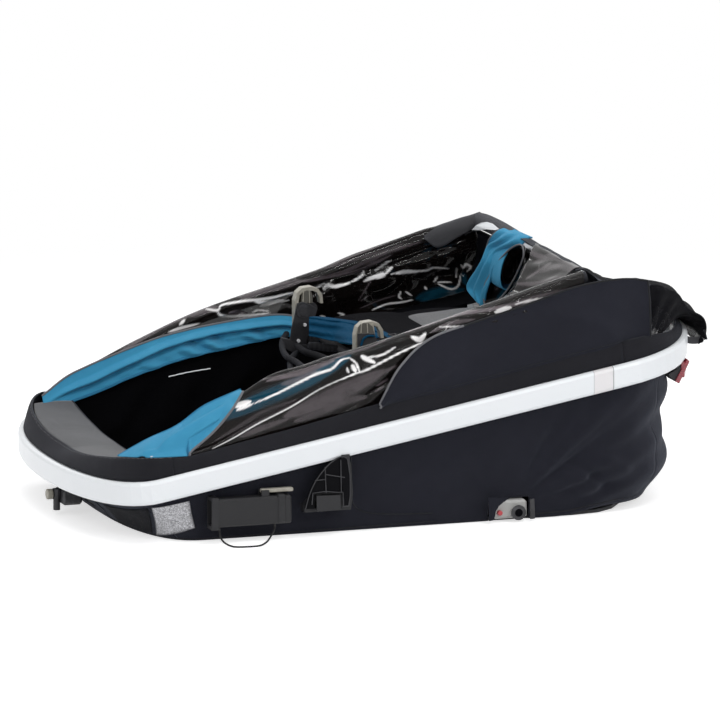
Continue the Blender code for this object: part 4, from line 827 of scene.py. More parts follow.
def metalFinish(name, colour, rough, along):
    # drawn or plated metal: fine lines along the tube, smears and a few dull spots
    finish = Finish(name, {"Metallic": 1.0, "Specular IOR Level": 0.5})
    stretch = {"X": (0.04, 1, 1), "Y": (1, 0.04, 1), "Z": (1, 1, 0.04)}[along]
    lines = finish.cloudy(1600, 2, 0.6, stretch)
    smears = finish.cloudy(18, 4, 0.6)
    spots = finish.band(finish.cloudy(120, 3, 0.6), 0.62, 0.7)
    darker = tuple(c * 0.72 for c in colour[:3]) + (1,)
    finish.feed("Base Color", finish.blendColour(smears * 0.35 + spots * 0.3, colour, darker))
    finish.feed("Roughness", rough + lines * 0.12 + smears * 0.1)
    finish.raised(lines * 0.00002, 0.6)
    return finish.material


def bandFinish(name):
    # the white frame band: cool white moulding with a paler sleeve just in front of the seam
    finish = Finish(name, {"Specular IOR Level": 0.5, "Coat Weight": 0.25, "Coat Roughness": 0.12})
    x = finish.axis("X")
    sleeve = x.over(bandLook["sleeveFrom"]) * (1 - x.over(bandLook["seam"]))
    seam = finish.band((x - bandLook["seam"]).size(), 0.0012, 0.0004)
    sleeveEdge = finish.band((x - bandLook["sleeveFrom"]).size(), 0.0014, 0.0005)
    cloud = finish.cloudy(6, 3)
    specks = finish.band(finish.cloudy(420, 2, 0.6), 0.70, 0.74)
    scuffs = finish.band(finish.cloudy(26, 5, 0.75, (0.25, 1, 1)), 0.68, 0.78)
    tone = finish.blendColour(cloud * 0.5, bandLook["colour"], bandLook["shade"])
    tone = finish.blendColour(sleeve, tone, bandLook["sleeveColour"])
    tone = finish.blendColour((scuffs * 0.22).most(specks * 0.25), tone, rgb(168, 172, 176))
    tone = finish.blendColour(seam * 0.65 + sleeveEdge * 0.25, tone, rgb(96, 100, 106))
    finish.feed("Base Color", tone)
    finish.feed("Roughness", 0.30 + cloud * 0.10 + scuffs * 0.2 + sleeve * 0.12)
    finish.raised(finish.cloudy(900, 2) * 0.00002 + cloud * 0.0002, 0.7)
    return finish.material


bandLook = {
    "colour": rgb(246, 249, 252),
    "shade": rgb(238, 243, 248),
    "sleeveColour": rgb(240, 238, 240),
    "sleeveFrom": 0.331,
    "seam": 0.367,
}


def lensFinish(name):
    # red reflector: rows of small prisms under a glossy face
    finish = Finish(name, {"Specular IOR Level": 0.6, "Coat Weight": 0.6, "Coat Roughness": 0.05})
    step = math.pi * 2 / 0.0032
    prisms = (finish.axis("Y") * step).wave() * (finish.axis("Z") * step).wave() * 0.5 + 0.5
    finish.feed("Base Color", finish.blendColour(prisms, rgb(96, 16, 30), rgb(176, 50, 66)))
    finish.feed("Roughness", 0.16 + prisms * 0.12)
    finish.raised(prisms * 0.0004, 0.8)
    return finish.material


def sparkleFinish(name):
    # reflective silver patch: glass beads, each catching the light its own way
    finish = Finish(name, {"Metallic": 0.35, "Specular IOR Level": 0.5})
    beads = finish.node("ShaderNodeTexVoronoi", None, {"Vector": finish.place(), "Scale": 620.0}, "Color")
    shade = finish.node("ShaderNodeSeparateColor", None, {0: beads}, 0)
    cloud = finish.cloudy(60, 3)
    finish.feed("Base Color", finish.blendColour(shade * 0.8 + cloud * 0.2, rgb(104, 104, 108), rgb(232, 232, 236)))
    finish.feed("Roughness", 0.35 + shade * 0.35)
    finish.raised(shade * 0.0003, 0.6)
    return finish.material


recipes = {
    # name: how it is made, its colours and what else it is told
    "blackCloth": (wovenFinish, ((24, 25, 34), (40, 41, 52)), {"fuzz": 0.2, "shine": 0.2}),
    "rimCloth": (wovenFinish, ((25, 25, 30), (40, 40, 46)), {"slack": 0.0010, "fuzz": 0.06, "shine": 0.2}),
    "boundEdge": (wovenFinish, ((18, 18, 20), (30, 30, 33)), {"slack": 0.0004}),
    "blueCloth": (wovenFinish, ((58, 150, 192), (88, 178, 216)), {"slack": 0.0014, "fuzz": 0.15, "dust": 0.35}),
    # darker copy of the blue cloth, for painted shade where blue cloth lies in shadow
    "blueShade": (wovenFinish, ((8, 62, 92), (16, 84, 118)), {"slack": 0.0014, "fuzz": 0.0, "shine": 0.1}),
    "blueHem": (wovenFinish, ((44, 126, 168), (66, 150, 190)), {"slack": 0.0005, "fuzz": 0.1}),
    "hoodCloth": (wovenFinish, ((42, 43, 47), (60, 61, 66)), {"fuzz": 0.12}),
    "greyTrim": (wovenFinish, ((64, 64, 67), (84, 84, 87)), {"fuzz": 0.12}),
    "padCloth": (wovenFinish, ((8, 8, 12), (16, 16, 20)), {"fuzz": 0.0, "dust": 0.05, "shine": 0.04}),
    "piping": (wovenFinish, ((112, 112, 116), (148, 148, 152)), {"slack": 0.0002, "fuzz": 0.1}),
    "greyMelange": (melangeFinish, ((60, 61, 64), (90, 91, 95)), {}),
    "seatMelange": (melangeFinish, ((86, 87, 90), (122, 123, 126)), {}),
    "linerCloth": (wovenFinish, ((4, 4, 6), (9, 9, 12)), {"slack": 0.0012, "fuzz": 0.0, "shine": 0.04}),
    "webbing": (wovenFinish, ((24, 24, 27), (42, 42, 46)), {"threads": 700, "slack": 0.0002}),
    "strapCloth": (
        wovenFinish, ((14, 14, 17), (28, 28, 32)), {"threads": 700, "slack": 0.0002, "fuzz": 0.05, "shine": 0.15}
    ),
    "vinyl": (vinylFinish, (), {}),
    "netting": (netFinish, ((9, 9, 12),), {"cover": 0.62, "yarnColour": rgb(30, 30, 34)}),
    "ventNet": (netFinish, ((26, 27, 31),), {"cell": 0.0024, "cover": 0.62}),
    "blackPlastic": (mouldedFinish, ((30, 30, 33), (48, 48, 52)), {"worn": rgb(84, 84, 88)}),
    "darkPlastic": (mouldedFinish, ((18, 18, 21), (28, 28, 32)), {"rough": 0.6}),
    # near-black copy of the moulded plastic, for painted shade in deep hollows and cells
    "hollowPlastic": (mouldedFinish, ((8, 8, 11), (13, 13, 16)), {"rough": 0.7, "shine": 0.08}),
    "dullPlastic": (mouldedFinish, ((38, 38, 41), (54, 54, 58)), {"rough": 0.6, "grain": 0.0001}),
    "beigePlastic": (mouldedFinish, ((150, 146, 134), (172, 168, 156)), {"rough": 0.40, "worn": rgb(190, 187, 178)}),
    # darker copy of the beige plastic, for painted shade in the claws' hollows
    "beigeShade": (mouldedFinish, ((84, 82, 76), (104, 102, 95)), {"rough": 0.5}),
    "palePlastic": (mouldedFinish, ((174, 174, 172), (192, 192, 190)), {"rough": 0.42, "worn": rgb(206, 206, 204)}),
    "redPlastic": (mouldedFinish, ((186, 62, 70), (204, 84, 90)), {"rough": 0.38, "worn": rgb(222, 130, 132)}),
    "band": (bandFinish, (), {}),
    "redLens": (lensFinish, (), {}),
    "sparkle": (sparkleFinish, (), {}),
    "tubeAlongX": (metalFinish, (), {"colour": (0.60, 0.61, 0.63, 1), "rough": 0.30, "along": "X"}),
    "tubeAlongY": (metalFinish, (), {"colour": (0.60, 0.61, 0.63, 1), "rough": 0.30, "along": "Y"}),
    "platedSteel": (metalFinish, (), {"colour": (0.52, 0.52, 0.54, 1), "rough": 0.24, "along": "Z"}),
    "brightSteel": (metalFinish, (), {"colour": (0.90, 0.90, 0.92, 1), "rough": 0.62, "along": "Y"}),
    "wire": (mouldedFinish, ((8, 8, 10), (16, 16, 19)), {"rough": 0.6, "worn": rgb(26, 26, 29)}),
}
finishes = {}
for finishName, (make, colours, more) in recipes.items():
    finishes[finishName] = make(finishName, *(rgb(*colour) for colour in colours), **more)
print("finishes:", len(finishes))

# The hard parts come from the frame as they are, and take their finishes here

nodeFinishes = {
    "band": ("ring_front", "ring_rear"),
    "platedSteel": ("joiner_left", "joiner_right", "roof_bracket_left", "roof_bracket_right"),
    "tubeAlongX": ("side_tube_left", "side_tube_right", "roof_beam_left", "roof_beam_right"),
    "tubeAlongY": ("cross_tube_front", "cross_tube_rear", "axle_tube", "rear_crossbar", "hinge_tube"),
    "dullPlastic": ("floor_pan", "upright_hoop", "ring_post_left", "ring_post_right"),
    "darkPlastic": ("tow_receptacle", "side_bracket", "bracket_button"),
    "blackPlastic": (
        "front_mount",
        "reflector_bracket_left",
        "reflector_bracket_right",
        "claw_arm_left",
        "claw_arm_right",
        "harness_buckle",
    ),
    "beigePlastic": ("claw_left", "claw_right", "tow_lock_lever", "front_mount_knob"),
    "palePlastic": ("wheel_socket_left", "wheel_socket_right"),
    "redPlastic": ("release_button_left", "release_button_right"),
    "redLens": ("reflector_left", "reflector_right"),
}

for finishName, nodeNames in nodeFinishes.items():
    for nodeName in nodeNames:
        mesh = nodes[nodeName].data
        mesh.materials.clear()
        mesh.materials.append(finishes[finishName])
print("hard parts finished:", sum(len(names) for names in nodeFinishes.values()))


# Lanyard of the tow arm's pin: a thin plastic-covered wire, hanging from the receptacle's two ends to the floor

lanyard = {
    "radius": 0.0017,
    "crimpRadius": 0.0021,
    "crimpLength": 0.007,
    "top": 0.0297,
    "route": (
        (-0.3600, -0.3325, 0.0240),
        (-0.3610, -0.3400, 0.0165),
        (-0.3605, -0.3510, 0.0098),
        (-0.3550, -0.3640, 0.0045),
        (-0.3440, -0.3740, 0.0018),
        (-0.3230, -0.3790, 0.0017),
        (-0.3005, -0.3775, 0.0018),
        (-0.2850, -0.3680, 0.0050),
        (-0.2724, -0.3530, 0.0110),
        (-0.2620, -0.3400, 0.0185),
        (-0.2580, -0.3325, 0.0240),
    ),
}


def makeLanyard():
    first, last = lanyard["route"][0], lanyard["route"][-1]
    start = Vector((first[0], first[1], lanyard["top"]))
    end = Vector((last[0], last[1], lanyard["top"]))
    points = [start] + smoothLine(lanyard["route"], 4) + [end]
    wire = rod("lanyardWire", points, lanyard["radius"], "wire", 8)
    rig.ride(wire, "chassis")
    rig.replaces(wire, "tow_lanyard")
    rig.slot(wire, "steel")
    length = sum((b - a).length for a, b in zip(points, points[1:]))
    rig.cord(
        wire,
        exit=tuple(start),
        length=length,
        diameter=2 * lanyard["radius"],
        far_end="object",
        stiffness="stiff",
        lay="hanging",
        path=[tuple(p) for p in points],
    )
    for name, place in (("Front", start), ("Rear", end)):
        low = place - Vector((0, 0, lanyard["crimpLength"]))
        crimp = rod("lanyardCrimp" + name, [low, place], lanyard["crimpRadius"], "wire", 12)
        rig.ride(crimp, "chassis")
        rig.slot(crimp, "steel")
    print("lanyard:", round(length, 4), "m")


makeLanyard()


# The frame's outlines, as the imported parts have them

ring = {
    "halfWidth": 0.34,
    "noseX": -0.467,
    "noseDepth": 0.110,
    "nosePower": 2.15,
    "tailX": 0.382,
    "tailDepth": 0.195,
    "tailPower": 2.5,
    "topZ": 0.2054,
    "slope": 0.1791,
    "height": 0.0418,
}
base = {
    "halfWidth": 0.296,
    "noseX": -0.370,
    "noseDepth": 0.105,
    "tailX": 0.310,
    "tailDepth": 0.150,
    "power": 2.5,
}


def ringTop(x):
    return ring["topZ"] + ring["slope"] * x


def ringBottom(x):
    return ringTop(x) - ring["height"]


def roundedEnd(centre, depth, halfWidth, power, turn):
    return Vector((centre + depth * math.cos(turn) ** (2 / power), halfWidth * math.sin(turn) ** (2 / power)))


def outlinePoint(shape, inset, tailInset, s):
    # s runs from -1 at the nose's tip, along the right side, to 1 at the tail's tip
    half = shape["halfWidth"] - inset
    noseEnd, tailStart = -0.55, 0.55
    if s < noseEnd:
        turn = math.pi / 2 * (s + 1) / (noseEnd + 1)
        power = shape.get("nosePower", shape.get("power"))
        return roundedEnd(shape["noseX"], -(shape["noseDepth"] - inset), half, power, turn)
    if s > tailStart:
        turn = math.pi / 2 * (1 - s) / (1 - tailStart)
        power = shape.get("tailPower", shape.get("power"))
        return roundedEnd(shape["tailX"], shape["tailDepth"] - tailInset, half, power, turn)
    return Vector((mix(shape["noseX"], shape["tailX"], (s - noseEnd) / (tailStart - noseEnd)), half))


# Lower cloth: from the floor's edge up to the band, with folds that fan out from the wheel socket

skirt = {
    "levels": 44,
    "thickness": 0.0016,
    "hubX": 0.196,
    "hubZ": 0.0188,
    "foldDepth": 0.0095,
    "archLow": -0.048,
    "archHigh": 0.027,
    "archTop": 0.0415,
    "front": (-0.6585, -0.6575),  # s where the nose's panel ends and the sides' start
    "rear": (0.7175, 0.7185),  # s where the sides' panels end and the tail's starts
    "mountHole": ((-0.60, -0.0265, 0.0150), (-0.45, 0.0265, 0.0530)),
    "folds": (  # angle round the wheel socket, half width and depth of each fold
        (0.36, 0.11, 1.0),
        (0.62, 0.10, -0.75),
        (0.80, 0.09, 0.8),
        (1.05, 0.12, -0.5),
        (2.35, 0.2, 0.35),
    ),
}


def skirtPoint(s, v):
    low = outlinePoint(base, -0.0005, -0.0480 * ease((s - 0.50) / 0.20), s)
    high = outlinePoint(ring, 0.0222, 0.0410, s)
    top = ringBottom(high.x) + 0.009
    x, y = mix(low.x, high.x, v), mix(low.y, high.y, v)
    z = mix(0.0012 + 0.0130 * ease((low.x - 0.270) / 0.110) + 0.0130 * ease((low.x - 0.440) / 0.070), top, v)
    tail = ease((x - 0.22) / 0.22)
    middle = math.sin(math.pi * min(max(v, 0), 1))
    out = 0.0120 * middle * (1.35 * tail - 0.10)
    # folds that run from the socket up and back to the band
    angle = math.atan2(z - skirt["hubZ"], x - skirt["hubX"] + 0.012)
    reach = math.hypot(z - skirt["hubZ"], x - skirt["hubX"])
    fan = 0.0
    for at, width, depth in skirt["folds"]:
        fan += depth * bump(angle, at, width)
    fade = ease((reach - 0.02) / 0.10) * (1 - ease((reach - 0.36) / 0.14) * 0.6)
    out += skirt["foldDepth"] * fan * fade * middle * ease((high.y - 0.12) / 0.08)
    # it fills out low down round the tail's corner
    corner = ease((s - 0.56) / 0.14)
    full = 0.0170 * (1 - ease((s - 0.90) / 0.08)) * bump(v, 0.19, 0.22)
    out += corner * (full - 0.0090 * bump(v, 0.55, 0.24) - 0.0050 * bump(v, 0.82, 0.20))
    # slack cloth bunched low down near the tail's corner
    bunch = bump(x, 0.345, 0.085) * bump(z, 0.070, 0.065)
    out += bunch * (0.010 * math.sin(95 * (x * 0.72 + z * 0.9)) + 0.006 * math.sin(160 * (z - 0.5 * x) + 1.1))
    # scalloped rear edge
    behind = ease((s - 0.62) / 0.16)
    out += behind * middle * 0.0060 * math.sin(46 * z + 1.0 + 4 * s)
    out += 0.0022 * middle * ripple(x, y, z, 11) + 0.0010 * middle * ripple(x, y, z, 34)
    # the hem is drawn in below, and the nose's underside is taut
    front = 1 - ease((x + 0.46) / 0.10)
    out -= 0.004 * front * middle
    radial = Vector((x * x * abs(x) * 6 * (1 if x > 0 else -1), y, 0)).normalized()
    return Vector((x + radial.x * out, y + radial.y * out, z))


def makeSkirts():
    (noseEnd, low), (high, tailStart) = skirt["front"], skirt["rear"]
    panels = (
        # name, its surface, columns, rows, replaced node
        ("sideSkirtRight", sideSurface(skirtPoint, low, high, 1), 150, skirt["levels"], "side_skirt_right"),
        ("sideSkirtLeft", sideSurface(skirtPoint, low, high, -1), 150, skirt["levels"], "side_skirt_left"),
        ("noseSkirt", mirroredSurface(skirtPoint, -1, noseEnd), 96, skirt["levels"] // 2, "nose_skirt"),
        ("rearSkirt", mirroredSurface(skirtPoint, 1, tailStart), 120, skirt["levels"], "rear_skirt"),
    )
    for name, surface, columns, rows, node in panels:
        piece = cloth(name, surface, columns, rows, skirt["thickness"], "blackCloth")
        if name == "noseSkirt":
            cutBox(piece, *skirt["mountHole"])
        elif name != "rearSkirt":
            cutArch(piece, 1 if name.endswith("Right") else -1)
        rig.ride(piece, "chassis")
        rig.replaces(piece, node)
        cutFrom(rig.slot(piece, "black_cloth"), surface, "stretched", "floor_pan")
    makeSkirtTrim()
    print("lower cloth:", len(panels), "panels")


def cutBox(piece, low, high):
    cutter = box("cutter", low, high, 0.003, "blackCloth")
    cut = piece.modifiers.new("cut", "BOOLEAN")
    cut.operation = "DIFFERENCE"
    cut.object = cutter
    cut.solver = "EXACT"
    bpy.context.view_layer.update()
    applyModifiers(piece)
    bpy.data.objects.remove(cutter, do_unlink=True)


def cutArch(piece, side):
    low, high = sorted((side * 0.24, side * 0.37))
    x = skirt["hubX"]
    cutBox(piece, (x + skirt["archLow"], low, -0.02), (x + skirt["archHigh"], high, skirt["archTop"]))


def skirtSpot(s, v, lift, side):
    # a point on the lower cloth, lifted off it; s and v as skirtPoint has them
    p = skirtPoint(s, v)
    ahead = skirtPoint(s + 0.01, v) - skirtPoint(s - 0.01, v)
    up = skirtPoint(s, min(v + 0.02, 1)) - skirtPoint(s, max(v - 0.02, 0))
    out = up.cross(ahead).normalized()
    if out.dot(Vector((p.x * 0.2, p.y, 0))) < 0:
        out = -out
    p = p + out * lift
    return Vector((p.x, side * p.y, p.z))


seams = {  # (s, v) along each sewn line of the lower cloth
    "panel": (
        (-0.092, 0.96), (-0.095, 0.82), (-0.100, 0.60), (-0.106, 0.37), (-0.092, 0.25), (-0.05, 0.18),
        (0.03, 0.14), (0.12, 0.12),
    ),
    "nose": ((-0.935, 0.62), (-0.933, 0.32), (-0.945, 0.15), (-0.935, 0.03)),
    "hem": ((-0.95, 0.035), (-0.80, 0.035), (-0.60, 0.035), (-0.30, 0.035), (0.0, 0.035), (0.13, 0.035)),
    "rearHem": ((0.42, 0.035), (0.55, 0.035), (0.72, 0.035)),
}
patches = {  # (s, v) of the corners, from the top front one backwards and round
    "reflectivePatch": {
        "corners": ((-0.630, 0.80), (-0.500, 0.80), (-0.550, 0.28), (-0.742, 0.06)),
        "finish": "sparkle",
    },
    "ventNet": {
        "corners": ((-0.883, 0.58), (-0.650, 0.78), (-0.755, 0.10), (-0.905, 0.08)),
        "finish": "ventNet",
    },
}


def makeSkirtTrim():
    # sewn seams, hem rolls, the mesh vent, the bare reflective patch and the patch's stitched edge
    for side, label in ((-1, "Left"), (1, "Right")):
        for name, points in seams.items():
            line = [skirtSpot(p.x, p.y, 0.0010, side) for p in smoothLine([(s, v, 0) for s, v in points], 8)]
            roll = rod(name + "Seam" + label, line, 0.0010, "boundEdge", 6)
            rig.slot(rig.ride(roll, "chassis"), "black_cloth")
        for name, facts in patches.items():
            patch = skirtPatch(name + label, facts["corners"], side, facts["finish"])
            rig.slot(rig.ride(patch, "chassis"), "mesh_cloth")
        edge = [patches["reflectivePatch"]["corners"][k] for k in (0, 1, 2, 3, 0)]
        line = []
        for (s0, v0), (s1, v1) in zip(edge, edge[1:]):
            line += [skirtSpot(mix(s0, s1, k / 8), mix(v0, v1, k / 8), 0.0027, side) for k in range(8)]
        stitch = rod("patchEdge" + label, line, 0.0005, "piping", 4, closed=True)
        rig.slot(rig.ride(stitch, "chassis"), "mesh_cloth")


def skirtPatch(name, corners, side, finish):
    a, b, c, d = (Vector(p) for p in corners)

    def surface(u, v):
        spot = a.lerp(b, u).lerp(d.lerp(c, u), v)
        return skirtSpot(spot.x, spot.y, 0.0020, side)

    return cloth(name, surface, 16, 10, 0.0009, finish)


makeSkirts()


# Rim: the cloth that stands on the band all round, with its bound upper edge

rim = {
    "noseEnd": -0.518,  # s where the nose's panel meets the sides', and theirs the tail's
    "tailStart": 0.555,
    "gap": 0.0002,
    "footInset": 0.0105,
    "heights": (
        (-1.0, 0.0135), (-0.92, 0.0200), (-0.84, 0.0265), (-0.76, 0.0330), (-0.68, 0.0370), (-0.60, 0.0365),
        (-0.56, 0.0340), (-0.52, 0.0290), (-0.48, 0.0240), (-0.36, 0.0250), (-0.20, 0.0275), (-0.06, 0.0320),
        (0.20, 0.0325), (0.50, 0.0350), (0.60, 0.0330), (0.68, 0.0240), (0.76, 0.0150), (1.0, 0.0125),
    ),
    "lean": 0.0125,
    "noseLean": 0.0365,
    "thickness": 0.0020,
    "edgeRadius": 0.0017,
}


def rimPoint(s, v):
    foot = outlinePoint(ring, rim["footInset"], rim["footInset"], s)
    x, y = foot.x, foot.y
    nose = 1 - ease((x + ring["noseDepth"] - ring["noseX"]) / ring["noseDepth"])
    lean = mix(rim["lean"], rim["noseLean"], nose) * v
    rise = smoothTable(rim["heights"], s)
    height = rise * math.sin(math.pi / 2 * min(v * 1.15, 1))
    inward = Vector((x - ring["noseX"] if x < ring["noseX"] else 0.0, y)).normalized()
    if x > ring["tailX"]:
        inward = Vector(((x - ring["tailX"]) * 2, y)).normalized()
    ripples = 0.0016 * ripple(x * 1.0, y * 1.4, 0.4, 26) * math.sin(math.pi * v * 0.9)
    ripples += 0.0018 * nose * math.sin(70 * y) * math.sin(math.pi * v) * 0.4
    z = ringTop(x) + 0.0006 + 0.0008 * nose + height + ripples * 0.5
    return Vector((x - inward.x * (lean + ripples), y - inward.y * (lean + ripples), z))


def makeRim():
    noseEnd, tailStart, gap = rim["noseEnd"], rim["tailStart"], rim["gap"]
    noseSurface = mirroredSurface(rimPoint, -1, noseEnd)
    tailSurface = mirroredSurface(rimPoint, 1, tailStart)
    sideLine = sideSurface(rimPoint, noseEnd, tailStart, 1)
    left, right = (sideSurface(rimPoint, noseEnd + gap, tailStart - gap, side) for side in (-1, 1))
    panels = (
        # name, its surface, columns, replaced node, line it was cut along, what it rests on
        ("noseRim", noseSurface, 150, "nose_rim", noseSurface, "ring_front"),
        ("rearRim", tailSurface, 130, "rear_rim", tailSurface, "ring_rear"),
        ("sideRimLeft", left, 150, "side_rim_left", sideLine, "ring_rear"),
        ("sideRimRight", right, 150, "side_rim_right", sideLine, "ring_rear"),
    )
    for name, surface, columns, node, line, restsOn in panels:
        piece = cloth(name, surface, columns, 10, rim["thickness"], "rimCloth")
        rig.slot(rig.replaces(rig.ride(piece, "chassis"), node), "black_cloth")
        cutFrom(piece, line, "stretched", restsOn)
    for name, surface in (("noseBinding", noseSurface), ("rearBinding", tailSurface)):
        binding = rod(name, traced(surface, 120, 1), rim["edgeRadius"], "boundEdge", 8)
        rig.slot(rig.ride(binding, "chassis"), "black_cloth")
    # a row of stitches below the binding
    threads = []
    for k in range(0, 150, 3):
        a, b = (noseSurface(j / 150, 0.80) for j in (k, k + 1.6))
        lift = Vector((0, 0, rim["thickness"] / 2 + 0.0003))
        threads.append(rod("thread", [a + lift, b + lift], 0.00035, "piping", 4))
    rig.slot(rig.ride(merge("noseRimStitches", threads), "chassis"), "black_cloth")
    print("rim:", len(panels), "panels")


# Nose panel: stiff heathered cloth from the rim to the cabin's mouth, with a bound inner edge

nosePanel = {
    "outerEnd": -0.705,
    "innerX": -0.4345,
    "innerEndX": -0.4480,
    "innerHalfWidth": 0.242,
    "innerZ": 0.1140,
    "innerEndZ": 0.1510,
    "thickness": 0.0028,
}


def nosePanelPoint(u, v):
    # u from 0 at the left end round the nose to 1, v from the rim inward
    across = abs(u - 0.5) * 2
    side = -1 if u < 0.5 else 1
    outer = rimPoint(mix(-1, nosePanel["outerEnd"], across), 1)
    outer += Vector((0.0035, -0.0020 * across, -0.0022))
    inner = Vector((
        mix(nosePanel["innerX"], nosePanel["innerEndX"], across**2),
        nosePanel["innerHalfWidth"] * across,
        mix(nosePanel["innerZ"], nosePanel["innerEndZ"], across**2.2),
    ))
    p = outer.lerp(inner, v)
    p.z += 0.0035 * math.sin(math.pi * v) * (1 - across * 0.5) + 0.0012 * ripple(p.x, p.y * side, 0, 14)
    return Vector((p.x, side * p.y, p.z))


def makeNosePanel():
    panel = cloth("nosePanel", nosePanelPoint, 110, 22, nosePanel["thickness"], "greyMelange")
    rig.slot(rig.replaces(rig.ride(panel, "chassis"), "nose_panel"), "grey_cloth")
    cutFrom(panel, nosePanelPoint, "stretched", "nose_rim")
    binding = rod("nosePanelBinding", traced(nosePanelPoint, 110, 1), 0.0022, "boundEdge", 8)
    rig.slot(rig.ride(binding, "chassis"), "grey_cloth")
    print("nose panel: 1 panel and its binding")


makeRim()
makeNosePanel()


# Roof frame's lines: the side beams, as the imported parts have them

beam = {
    "hingeX": -0.470,
    "eyeY": 0.298,
    "sideY": 0.285,
    "radius": 0.008,
    "line": (
        (-0.464, 0.155), (-0.440, 0.176), (-0.390, 0.200), (-0.310, 0.237), (-0.190, 0.284),
        (-0.020, 0.330), (0.150, 0.377), (0.260, 0.408), (0.330, 0.426),
    ),
}


def beamY(x):
    return mix(beam["eyeY"], beam["sideY"], ease((x - beam["hingeX"]) / 0.09))


def beamTop(x):
    slope = (smoothTable(beam["line"], x + 0.01) - smoothTable(beam["line"], x - 0.01)) / 0.02
    return smoothTable(beam["line"], x) + beam["radius"] * math.sqrt(1 + slope * slope)


# Blue strips: cloth along both sides of the cabin's mouth, sewn to the roof frame and slack while it is folded

strip = {
    "thickness": 0.0014,
    "farY": 0.2702,
    "top": (
        (-0.4991, 0.1615), (-0.4575, 0.1879), (-0.4060, 0.2092), (-0.3462, 0.2303), (-0.2775, 0.2511),
        (-0.2132, 0.2637), (-0.1490, 0.2722), (-0.0850, 0.2785), (-0.0421, 0.2780), (0.0100, 0.2660), (0.0800, 0.2560),
    ),
    "foot": (
        (-0.4995, 0.1318), (-0.4470, 0.1477), (-0.3998, 0.1609), (-0.3360, 0.1840), (-0.2412, 0.2110),
        (-0.1556, 0.2264), (-0.0700, 0.2400), (-0.0421, 0.2430), (0.0100, 0.2330), (0.0800, 0.2200),
    ),
}


def farStripPoint(u, v):
    # u along it from the nose, v from its top edge down to its hem
    x = mix(strip["top"][0][0], strip["top"][-1][0], u)
    top, foot = smoothTable(strip["top"], x), smoothTable(strip["foot"], x)
    z = mix(top, foot, v)
    y = strip["farY"] - 0.017 * v
    # the upper part rolls over a long fold, and the lower part hangs in soft pleats behind its hem
    fold = 0.40 + 0.10 * math.sin(2.4 * math.pi * u + 0.6)
    y -= 0.0105 * bump(v, fold, 0.17) * ease(u / 0.12) * (1 - ease((u - 0.80) / 0.15))
    y += 0.0060 * bump(v, fold + 0.20, 0.16) * ease(u / 0.2)
    lower = ease((v - fold) / 0.2) * (1 - ease((v - 0.86) / 0.14) * 0.7)
    slant = x * 1.0 + (z - top) * 1.3
    pleats = math.sin(slant * 92 + 3.1 * ripple(x, 0, z, 16)) * 0.6 + math.sin(slant * 151 + 1.3) * 0.4
    y += 0.0080 * pleats * lower * bump(u, 0.55, 0.55)
    y += 0.0012 * ripple(x, y, z, 30)
    nose = 1 - ease((x + 0.50) / 0.07)
    return Vector((x, y - 0.012 * nose, z + 0.0016 * math.sin(slant * 60) * v * (1 - v)))


nearStrip = {
    "inner": (
        (-0.5200, -0.2500, 0.1515), (-0.4675, -0.2520, 0.1775), (-0.4118, -0.2540, 0.2000),
        (-0.3648, -0.2600, 0.2330), (-0.3015, -0.2740, 0.2610),
    ),
    "base": (
        (-0.5185, -0.2585, 0.1520), (-0.4900, -0.3060, 0.1570), (-0.4520, -0.3175, 0.1575),
        (-0.4150, -0.3190, 0.1575),
    ),
}


def nearStripPoint(u, v):
    # u from the nose back and up to the beam, v from the cabin's mouth out to the rim and the piping
    p = alongLine(nearStrip["lines"]["inner"], u).lerp(alongLine(nearStrip["lines"]["outer"], u), v)
    middle = math.sin(math.pi * v)
    p.z += 0.010 * middle * bump(u, 0.45, 0.5)
    p.z += 0.0042 * middle * math.sin(26 * u + 5 * v) * bump(u, 0.5, 0.5)
    p.y += 0.0022 * middle * ripple(p.x, p.y, p.z, 30)
    return overBeam(p) if v < 0.93 or u < nearStrip["corner"] else p


def alongLine(line, u):
    t = u * (len(line) - 1)
    k = min(int(t), len(line) - 2)
    return line[k].lerp(line[k + 1], t - k)


def layNearStrip():
    # its outer line runs along the rim, then up the film's front edge, which is sewn to it
    base = smoothLine(nearStrip["base"], 16)
    rise = [nearFilmPoint(0.003, 1 - 0.84 * k / 44) + Vector((-0.0006, -0.0016, 0.0012)) for k in range(45)]
    nearStrip["lines"] = {"inner": smoothLine(nearStrip["inner"], 24), "outer": base + rise}
    nearStrip["corner"] = len(base) / (len(base) + len(rise))


def overBeam(p):
    # lifts a point of the near strip over the side beam, or over its hinge, where they would come through
    away = abs(abs(p.y) - beamY(p.x)) / 0.020
    reach = max(beamTop(max(p.x, -0.462)) + 0.0030, 0.1690 if p.x < -0.452 else 0.0)
    cover = reach - 0.045 * away * away
    share = ease((p.x + 0.500) / 0.020)
    if p.z < cover:
        p.z = mix(p.z, cover, share)
    return p


def makeStrips():
    layNearStrip()
    for name, surface, across, along, label in (
        ("blueStripFar", farStripPoint, 230, 40, "right"),
        ("blueStripNear", nearStripPoint, 90, 34, "left"),
    ):
        piece = cloth(name, surface, across, along, strip["thickness"], "blueCloth")
        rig.ride(piece, "roof_frame")
        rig.replaces(piece, f"blue_strip_{label}")
        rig.slot(piece, "blue_cloth")
        cutFrom(piece, surface, "hung", f"roof_beam_{label}")
    rise = [nearStripPoint(mix(nearStrip["corner"], 1, k / 40), 1.0) for k in range(41)]
    trims = (
        # name, line, radius, finish
        ("farStripHem", traced(farStripPoint, 160, 0.985), 0.0018, "blueHem"),
        ("farStripHemSeam", traced(farStripPoint, 160, 0.93, (0, -0.0010, 0)), 0.0006, "blueHem"),
        ("farStripPiping", traced(farStripPoint, 160, 0.0), 0.0020, "piping"),
        ("nearStripHem", traced(nearStripPoint, 90, 0.01), 0.0018, "blueHem"),
        ("nearStripPiping", rise, 0.0022, "piping"),
    )
    for name, line, radius, finishName in trims:
        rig.slot(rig.ride(rod(name, line, radius, finishName, 8), "roof_frame"), "blue_cloth")
    print("blue strips: 2, with", len(trims), "hems and pipings")


